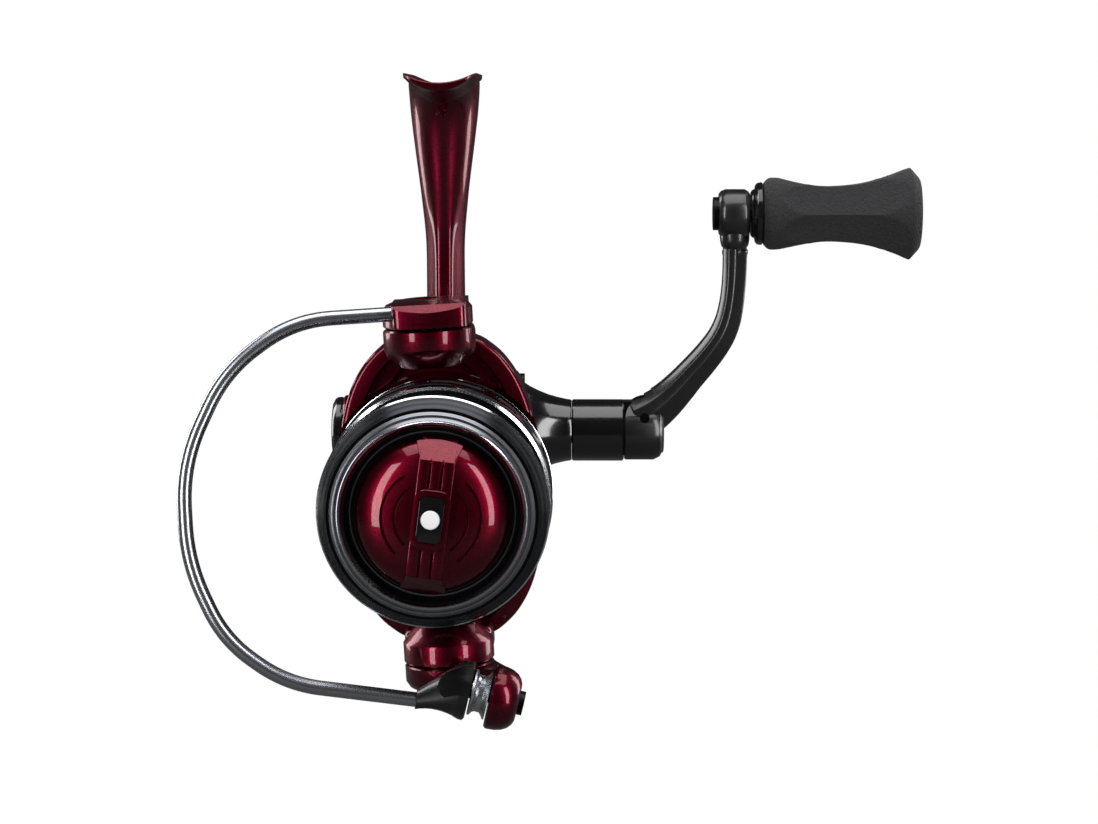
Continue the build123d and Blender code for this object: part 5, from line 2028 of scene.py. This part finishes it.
    def build_grip(self, axle: Spindle) -> None:
        """The foam grip: waisted, flared, with lens-shaped scoops round its middle.

        Args:
            axle: the knob's axis.
        """
        s, e = self.grip_start, self.grip_end
        shape = [
            (s, 6.4),
            (s + 0.5, 7.3),
            (s + 1.8, 8.2),
            (s + 5.0, 8.05),
            (s + 9.0, 7.75),
            (s + 13.6, 7.7),
            (s + 18.0, 8.0),
            (s + 22.8, 8.5),
            (s + 27.4, 9.25),
            (s + 31.0, 10.0),
            (e - 2.5, 10.45),
        ]
        outer = flowing(shape, 5)
        outer += [(e - 2.3, 10.4), (e - 0.5, 8.4), (e - 0.2, 7.9), (e - 0.05, 6.4)]
        profile = [(s, self.grip_core)] + outer + [(e - 0.05, self.grip_core)]
        grip = lathe("knob_grip_foam", axle, profile, 144)
        middle = (s + e) / 2 + 0.6
        turn_half = math.radians(self.scoop_half_degrees)
        for vertex in grip.data.vertices:
            beside = Vector((0, vertex.co.y - self.axis_y, vertex.co.z - axle.centre.z))
            if beside.length < 5.6:
                continue
            turn = math.atan2(beside.y, beside.z)
            step = 2 * math.pi / self.scoops
            off = (turn + step / 2) % step - step / 2
            along = (vertex.co.x - middle) / self.scoop_half_length
            share = 1 - along**2 - (off / turn_half) ** 2
            if share > 0:
                beside.normalize()
                vertex.co -= beside * self.scoop_depth * min(1.0, share**0.75)
        deliver(grip, self.reel, "handle_knob", (EVA_FOAM,), ("knob_grip",), angle=50.0)


# ---------------------------------------------------------------- body


@dataclass
class BodyGroup:
    """Foot, stem, gear case and covers. Lengths in millimetres."""

    reel: ReelFrame
    seat_height: float = 89.3
    seat_y: float = 31.0
    foot_length: float = 58.0
    foot_width: float = 16.3
    seat_radius: float = 15.6
    foot_edge: float = 1.8
    foot_root: float = 5.0
    case_front: float = 21.9
    case_left: float = -17.0
    case_right: float = 18.0
    split: float = 9.0
    wall: float = 2.2
    floor: float = -17.5
    crown: float = 24.8
    tail: float = 68.5
    round_over: float = 5.5
    nose_radius: float = 12.5
    nose_front: float = 9.6
    axis_y: float = 36.0
    axis_z: float = 10.0
    screw_spots: tuple[Point, ...] = ((27.0, -11.5), (50.0, -13.3), (49.5, 19.5))

    def build(self) -> None:
        """Makes the body's pieces."""
        self.build_housing()
        self.build_cover()
        self.build_rear_cover()
        self.build_cap()

    def handle_axis(self) -> Spindle:
        """The drive shaft's axis."""
        return Spindle(Vector((0, self.axis_y, self.axis_z)), RIGHT, UP)

    def case_outline(self, inset: float) -> list[Point]:
        """Side view of the gear case as (y, z), brought in by a wall."""
        front, floor, crown, tail = self.case_front, self.floor, self.crown, self.tail
        return [
            (front + inset, floor + 3 + inset),
            (front + 6 + inset, floor + inset),
            (self.axis_y + 12, floor + inset),
            (tail - 2 - inset, floor + 7 + inset),
            (tail - inset, 0.0),
            (tail - 3 - inset, 8.0),
            (self.axis_y + 16 - inset / 2, crown - 3 - inset),
            (self.axis_y + 8, crown - inset),
            (front + 3 + inset, crown - inset),
            (front + inset, crown - 4 - inset),
        ]

    def case_ring(self, inset: float, x: float) -> list[Vector]:
        """The case's outline at one place across it, its corners drawn round.

        Args:
            inset: how far it is brought in.
            x: the place.

        Returns:
            The points in order.
        """
        corners = self.case_outline(inset)
        ring = []
        for i, spot in enumerate(corners):
            here = Vector(spot)
            ends = [Vector(corners[i - 1]) - here, Vector(corners[(i + 1) % len(corners)]) - here]
            before, after = [here + way.normalized() * min(4.0, 0.45 * way.length) for way in ends]
            for step in range(7):
                t = step / 6
                point = before * (1 - t) ** 2 + here * (2 * t * (1 - t)) + after * t**2
                ring.append(Vector((x, point.x, point.y)))
        return ring

    def case_block(
        self, inset: float, rounding: float, low: float | None = None, high: float | None = None
    ) -> bpy.types.Object:
        """The gear case as one solid, its two sides rounded over.

        Args:
            inset: how far it is brought in all round.
            rounding: radius of the rounded sides.
            low: where it is cut off flat on the left, if it is.
            high: where it is cut off flat on the right, if it is.

        Returns:
            The solid.
        """
        left, right = self.case_left + inset, self.case_right - inset
        turns = [math.radians(90.0 * i / 6) for i in range(7)] if rounding else [math.radians(90.0)]
        rings = []
        if low is None:
            for turn in turns:
                far = rounding * (1 - math.cos(turn))
                rings.append(self.case_ring(inset + rounding * (1 - math.sin(turn)), left + far))
        else:
            rings.append(self.case_ring(inset, low))
        if high is None:
            for turn in reversed(turns):
                far = rounding * (1 - math.cos(turn))
                rings.append(self.case_ring(inset + rounding * (1 - math.sin(turn)), right - far))
        else:
            rings.append(self.case_ring(inset, high))
        return loft("case", rings)

    def stem(self) -> bpy.types.Object:
        """The leg: a broad spoon below the foot that narrows to a ridge between hollow flanks.

        Returns:
            The leg.
        """
        stations = [
            (18.0, 11.0, 27.5, 53.0, 0.0),
            (24.0, 10.0, 27.5, 52.0, 0.0),
            (31.0, 9.3, 27.8, 50.0, 0.0),
            (39.0, 9.0, 28.0, 47.5, 0.0),
            (47.0, 8.9, 28.0, 45.5, 0.0),
            (52.5, 8.9, 27.8, 44.4, 0.05),
            (57.0, 9.45, 27.2, 43.6, 0.3),
            (61.5, 10.4, 26.4, 43.0, 0.7),
            (66.0, 11.3, 25.4, 42.8, 1.0),
            (71.0, 12.6, 24.6, 43.0, 1.0),
            (75.5, 13.8, 23.8, 43.8, 1.0),
            (79.5, 14.8, 22.9, 45.0, 1.0),
            (83.0, 15.6, 21.6, 46.8, 1.0),
            (85.8, 16.0, 19.4, 49.2, 1.0),
            (87.6, 16.2, 16.2, 52.0, 1.0),
            (88.9, 16.3, 12.2, 55.0, 1.0),
            (91.4, 16.3, 10.2, 57.0, 1.0),
        ]
        spoon = [
            (0, 0),
            (0.3, 0.022),
            (0.56, 0.08),
            (0.78, 0.165),
            (0.93, 0.28),
            (1, 0.45),
            (0.96, 0.7),
            (0.76, 0.9),
            (0.4, 0.98),
            (0, 1),
        ]
        ridge = [
            (0, 0),
            (0.30, 0.0),
            (0.44, 0.035),
            (0.56, 0.14),
            (0.78, 0.27),
            (1, 0.42),
            (0.97, 0.70),
            (0.78, 0.9),
            (0.4, 0.98),
            (0, 1),
        ]
        rings = []
        for z, wide, front, back, share in stations:
            half = []
            for a, b in zip(spoon, ridge):
                x = (a[0] * share + b[0] * (1 - share)) * wide / 2
                y = front + (back - front) * (a[1] * share + b[1] * (1 - share))
                half.append((x, y))
            ring = half + [(-x, y) for x, y in reversed(half[1:-1])]
            rings.append([Vector((x, y, z)) for x, y in ring])
        leg = loft("stem", rings)
        apply_modifier(leg, "SUBSURF", {"levels": 2, "render_levels": 2})
        return leg

    def foot(self) -> bpy.types.Object:
        """The saddle-topped foot, thin and rounded at both tips.

        Returns:
            The foot.
        """
        rings = []
        count = 21
        for i in range(count):
            share = -1 + 2 * i / (count - 1)
            y = self.seat_y + share * self.foot_length / 2
            half = self.foot_width / 2 * (1 - 0.22 * abs(share) ** 9)
            thick = self.foot_edge + (self.foot_root - self.foot_edge) * (1 - abs(share) ** 1.6)
            ring = []
            for j in range(15):
                x = -half + 2 * half * j / 14
                ring.append((x, self.seat_height + self.saddle(x)))
            for j in range(15):
                x = half - 2 * half * j / 14
                belly = 1 - (x / half) ** 2
                drop = (thick - 0.75) * belly
                ring.append((x * 0.985, self.seat_height + self.saddle(x) * 0.85 - 0.75 - drop))
            rings.append([Vector((x, y, z)) for x, z in ring])
        plate = loft("foot", rings)
        soften(plate, 0.35, 3, 40.0)
        return plate

    def saddle(self, x: float) -> float:
        """Rise of the rod's seat at a distance from the middle."""
        return self.seat_radius - math.sqrt(self.seat_radius**2 - x**2)

    def build_housing(self) -> None:
        """Case, nose, stem and foot in one casting."""
        shell = self.case_block(0.0, self.round_over, high=self.split)
        shell.name = "body_housing_cast"
        nose = lathe(
            "nose",
            SPOOL_AXIS,
            [
                (self.nose_front, 0),
                (self.nose_front, self.nose_radius - 0.4),
                (self.nose_front + 0.4, self.nose_radius),
                (23.5, self.nose_radius),
                (23.5, 0),
            ],
            96,
        )
        axis = self.handle_axis()
        swell = [
            (-23.4, 0),
            (-23.4, 7.7),
            (-23.1, 8.0),
            (-20.0, 8.2),
            (-17.6, 8.9),
            (-16.0, 10.0),
            (-16.0, 0),
        ]
        boss = lathe("boss", axis, swell, 96)
        leg = self.stem()
        top = self.seat_height + self.seat_radius
        rod = Spindle(Vector((0, self.seat_y, top)), BACK, UP)
        blank = plug("blank", rod, self.seat_radius + 0.02, (-40, 40), 160)
        combine(leg, [blank], Join.CUT)
        combine(shell, [leg, self.foot(), nose, boss], Join.ADD)
        room = self.case_block(self.wall, 0.0, high=self.split + 1)
        web = box("web", Vector((-5.9, 39.4, -16.5)), Vector((4.5, 42.4, 8.4)))
        combine(room, [web], Join.CUT)
        clutch = plug("clutch", SPOOL_AXIS, 10.91, (8, 15.6), 96)
        bearing = plug("bearing", SPOOL_AXIS, 8.51, (15.0, 20.8), 96)
        throat = plug("throat", SPOOL_AXIS, 5.7, (20, 26), 64)
        bush = plug("bush", SPOOL_AXIS, 4.61, (38, 44), 64)
        side = plug("side", axis, 6.51, (-25, -13), 64)
        combine(shell, [room, clutch, bearing, throat, bush, side], Join.CUT)
        deliver(
            shell, self.reel, "body", (CANDY_LACQUER,), ("body_housing",), angle=35.0
        )

    def build_cover(self) -> None:
        """The handle-side cover and its flared boss."""
        cover = self.case_block(0.0, self.round_over, low=self.split + 0.04)
        cover.name = "side_cover_cast"
        axis = self.handle_axis()
        flare = [
            (15.0, 0.0),
            (15.0, 11.6),
            (17.6, 11.3),
            (19.2, 10.2),
            (21.2, 9.2),
            (23.4, 8.3),
            (25.6, 7.65),
            (27.6, 7.2),
            (28.5, 7.08),
            (28.9, 6.9),
            (28.9, 0.0),
        ]
        combine(cover, [lathe("flare", axis, flare, 96)], Join.ADD)
        room = self.case_block(self.wall, 0.0, low=self.split - 1)
        bearing = plug("bearing", axis, 6.51, (14, 22.1), 64)
        shaft = plug("shaft", axis, 3.5, (8, 30), 64)
        cutters = [room, bearing, shaft]
        for y, z in self.screw_spots:
            spot = Spindle(Vector((0, y, z)), RIGHT, UP)
            cutters.append(plug("well", spot, 2.4, (self.case_right - 1.4, 20), 40))
        combine(cover, cutters, Join.CUT)
        deliver(
            cover, self.reel, "body", (BLACK_LACQUER,), ("side_cover",), angle=35.0
        )

    def build_rear_cover(self) -> None:
        """The trim cap over the back of the case."""
        outer = self.case_block(-0.8, self.round_over + 0.8)
        outer.name = "rear_cover_moulded"
        back_end = box("back_end", Vector((-60, self.tail - 9.0, -60)), Vector((60, 140, 60)))
        combine(outer, [back_end], Join.KEEP)
        combine(outer, [self.case_block(-0.03, self.round_over)], Join.CUT)
        looks = (GLOSS_ABS,)
        deliver(outer, self.reel, "body", looks, ("rear_cover",), angle=35.0)

    def build_cap(self) -> None:
        """Screw cap over the unused left end, with its coin slot."""
        axis = self.handle_axis()
        profile = [
            (-26.1, 0.0),
            (-26.1, 5.2),
            (-25.95, 6.2),
            (-25.5, 7.1),
            (-24.9, 7.55),
            (-23.9, 7.6),
            (-23.43, 7.35),
            (-23.43, 6.45),
            (-22.5, 6.45),
            (-22.5, 0.0),
        ]
        cap = lathe("handle_hole_cap_turned", axis, profile, 72)
        slot = box(
            "slot",
            Vector((-27, self.axis_y - 4.2, self.axis_z - 0.6)),
            Vector((-25.4, self.axis_y + 4.2, self.axis_z + 0.6)),
        )
        combine(cap, [slot], Join.CUT)
        deliver(cap, self.reel, "body", (GLOSS_BLACK_METAL,), ("handle_hole_cap",))


# ---------------------------------------------------------------- studio


@dataclass
class Studio:
    """Floor, soft lights and camera. Places are in working millimetres."""

    reel: ReelFrame
    camera_at: tuple[float, float, float] = (29.0, -600.0, 84.0)
    look_at: tuple[float, float, float] = (24.0, 0.0, 18.1)
    lens: float = 91.0
    floor_drop: float = 150.0
    floor_size: float = 6000.0

    def place(self, point: tuple[float, float, float]) -> Vector:
        """A working point in the scene.

        Args:
            point: millimetres.

        Returns:
            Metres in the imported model's frame.
        """
        return self.reel.to_row() @ Vector(point)

    def softbox(
        self,
        name: str,
        at: tuple[float, float, float],
        to: tuple[float, float, float],
        size: Point,
        power: float,
    ) -> None:
        """Adds one rectangular soft light.

        Args:
            name: its name.
            at: where it stands.
            to: what it looks at.
            size: width and height in millimetres.
            power: watts.
        """
        light = bpy.data.lights.new(name, "AREA")
        light.shape = "RECTANGLE"
        light.size = size[0] * MM
        light.size_y = size[1] * MM
        light.energy = power
        lamp = bpy.data.objects.new(name, light)
        bpy.context.scene.collection.objects.link(lamp)
        lamp.location = self.place(at)
        way = self.place(to) - lamp.location
        lamp.rotation_euler = way.to_track_quat("-Z", "Y").to_euler()
        lamp.visible_camera = False

    def build(self) -> None:
        """Makes the studio."""
        self.light_room()
        self.lay_floor()
        middle = self.look_at
        self.softbox("left_strip", (-520, -620, 120), middle, (200, 900), 5.0)
        self.softbox("right_strip", (560, -560, 160), middle, (180, 900), 4.5)
        self.softbox("top_bank", (40, -120, 760), middle, (900, 700), 6.0)
        self.softbox("low_fill", (0, -700, -420), middle, (900, 260), 1.5)
        self.softbox("back_left", (-650, 420, 260), middle, (300, 800), 4.0)
        self.softbox("back_right", (700, 420, 260), middle, (300, 800), 4.0)
        camera_data = bpy.data.cameras.new("camera")
        camera = bpy.data.objects.new("camera", camera_data)
        bpy.context.scene.collection.objects.link(camera)
        camera_data.lens = self.lens
        camera_data.clip_end = 100.0
        camera.location = self.place(self.camera_at)
        way = self.place(self.look_at) - camera.location
        camera.rotation_euler = way.to_track_quat("-Z", "Y").to_euler()
        bpy.context.scene.camera = camera

    def light_room(self) -> None:
        """A bright pale room for the eye and a dim one for reflections."""
        world = bpy.data.worlds.new("room")
        bpy.context.scene.world = world
        world.use_nodes = True
        tree = world.node_tree
        tree.nodes.clear()
        output = tree.nodes.new("ShaderNodeOutputWorld")
        path = tree.nodes.new("ShaderNodeLightPath")
        dim = add_node(
            tree, "ShaderNodeBackground", {"Color": (1.0, 1.0, 1.0, 1.0), "Strength": 0.03}, {}
        )
        pale = add_node(
            tree, "ShaderNodeBackground", {"Color": (1.0, 1.0, 1.0, 1.0), "Strength": 1.0}, {}
        )
        mix = add_node(tree, "ShaderNodeMixShader", {}, {"Fac": path.outputs["Is Camera Ray"]})
        tree.links.new(dim.outputs["Background"], mix.inputs[1])
        tree.links.new(pale.outputs["Background"], mix.inputs[2])
        tree.links.new(mix.outputs["Shader"], output.inputs["Surface"])

    def lay_floor(self) -> None:
        """A wide plain pale floor well below the reel."""
        bpy.ops.object.select_all(action="DESELECT")
        low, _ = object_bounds()
        level = low[2] - self.floor_drop * MM
        bpy.ops.mesh.primitive_plane_add(size=self.floor_size * MM, location=(0, 0, level))
        floor = bpy.context.active_object
        floor.name = "floor"
        material = bpy.data.materials.new("pale_floor")
        material.use_nodes = True
        tree = material.node_tree
        tree.nodes.clear()
        output = tree.nodes.new("ShaderNodeOutputMaterial")
        path = tree.nodes.new("ShaderNodeLightPath")
        matt = add_node(
            tree,
            "ShaderNodeBsdfDiffuse",
            {"Color": (0.12, 0.12, 0.12, 1.0), "Roughness": 0.9},
            {},
        )
        pale = add_node(
            tree, "ShaderNodeEmission", {"Color": (1.0, 1.0, 1.0, 1.0), "Strength": 1.0}, {}
        )
        mix = add_node(tree, "ShaderNodeMixShader", {}, {"Fac": path.outputs["Is Camera Ray"]})
        tree.links.new(matt.outputs["BSDF"], mix.inputs[1])
        tree.links.new(pale.outputs["Emission"], mix.inputs[2])
        tree.links.new(mix.outputs["Shader"], output.inputs["Surface"])
        floor.data.materials.append(material)
        floor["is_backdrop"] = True


# ---------------------------------------------------------------- main


def main() -> None:
    """Builds the looks, piece by piece."""
    logging.basicConfig(level=logging.INFO, format="%(message)s")
    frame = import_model()
    bpy.ops.object.select_all(action="DESELECT")
    reel = ReelFrame(frame)
    dress_frame(reel, frame["record"])
    BodyGroup(reel).build()
    SpoolGroup(reel).build()
    DragKnob(reel).build()
    RotorGroup(reel).build()
    BailGroup(reel).build()
    HandleGroup(reel).build()
    Studio(reel).build()
    bpy.context.scene.view_settings.view_transform = "Standard"


if __name__ == "__main__":
    main()
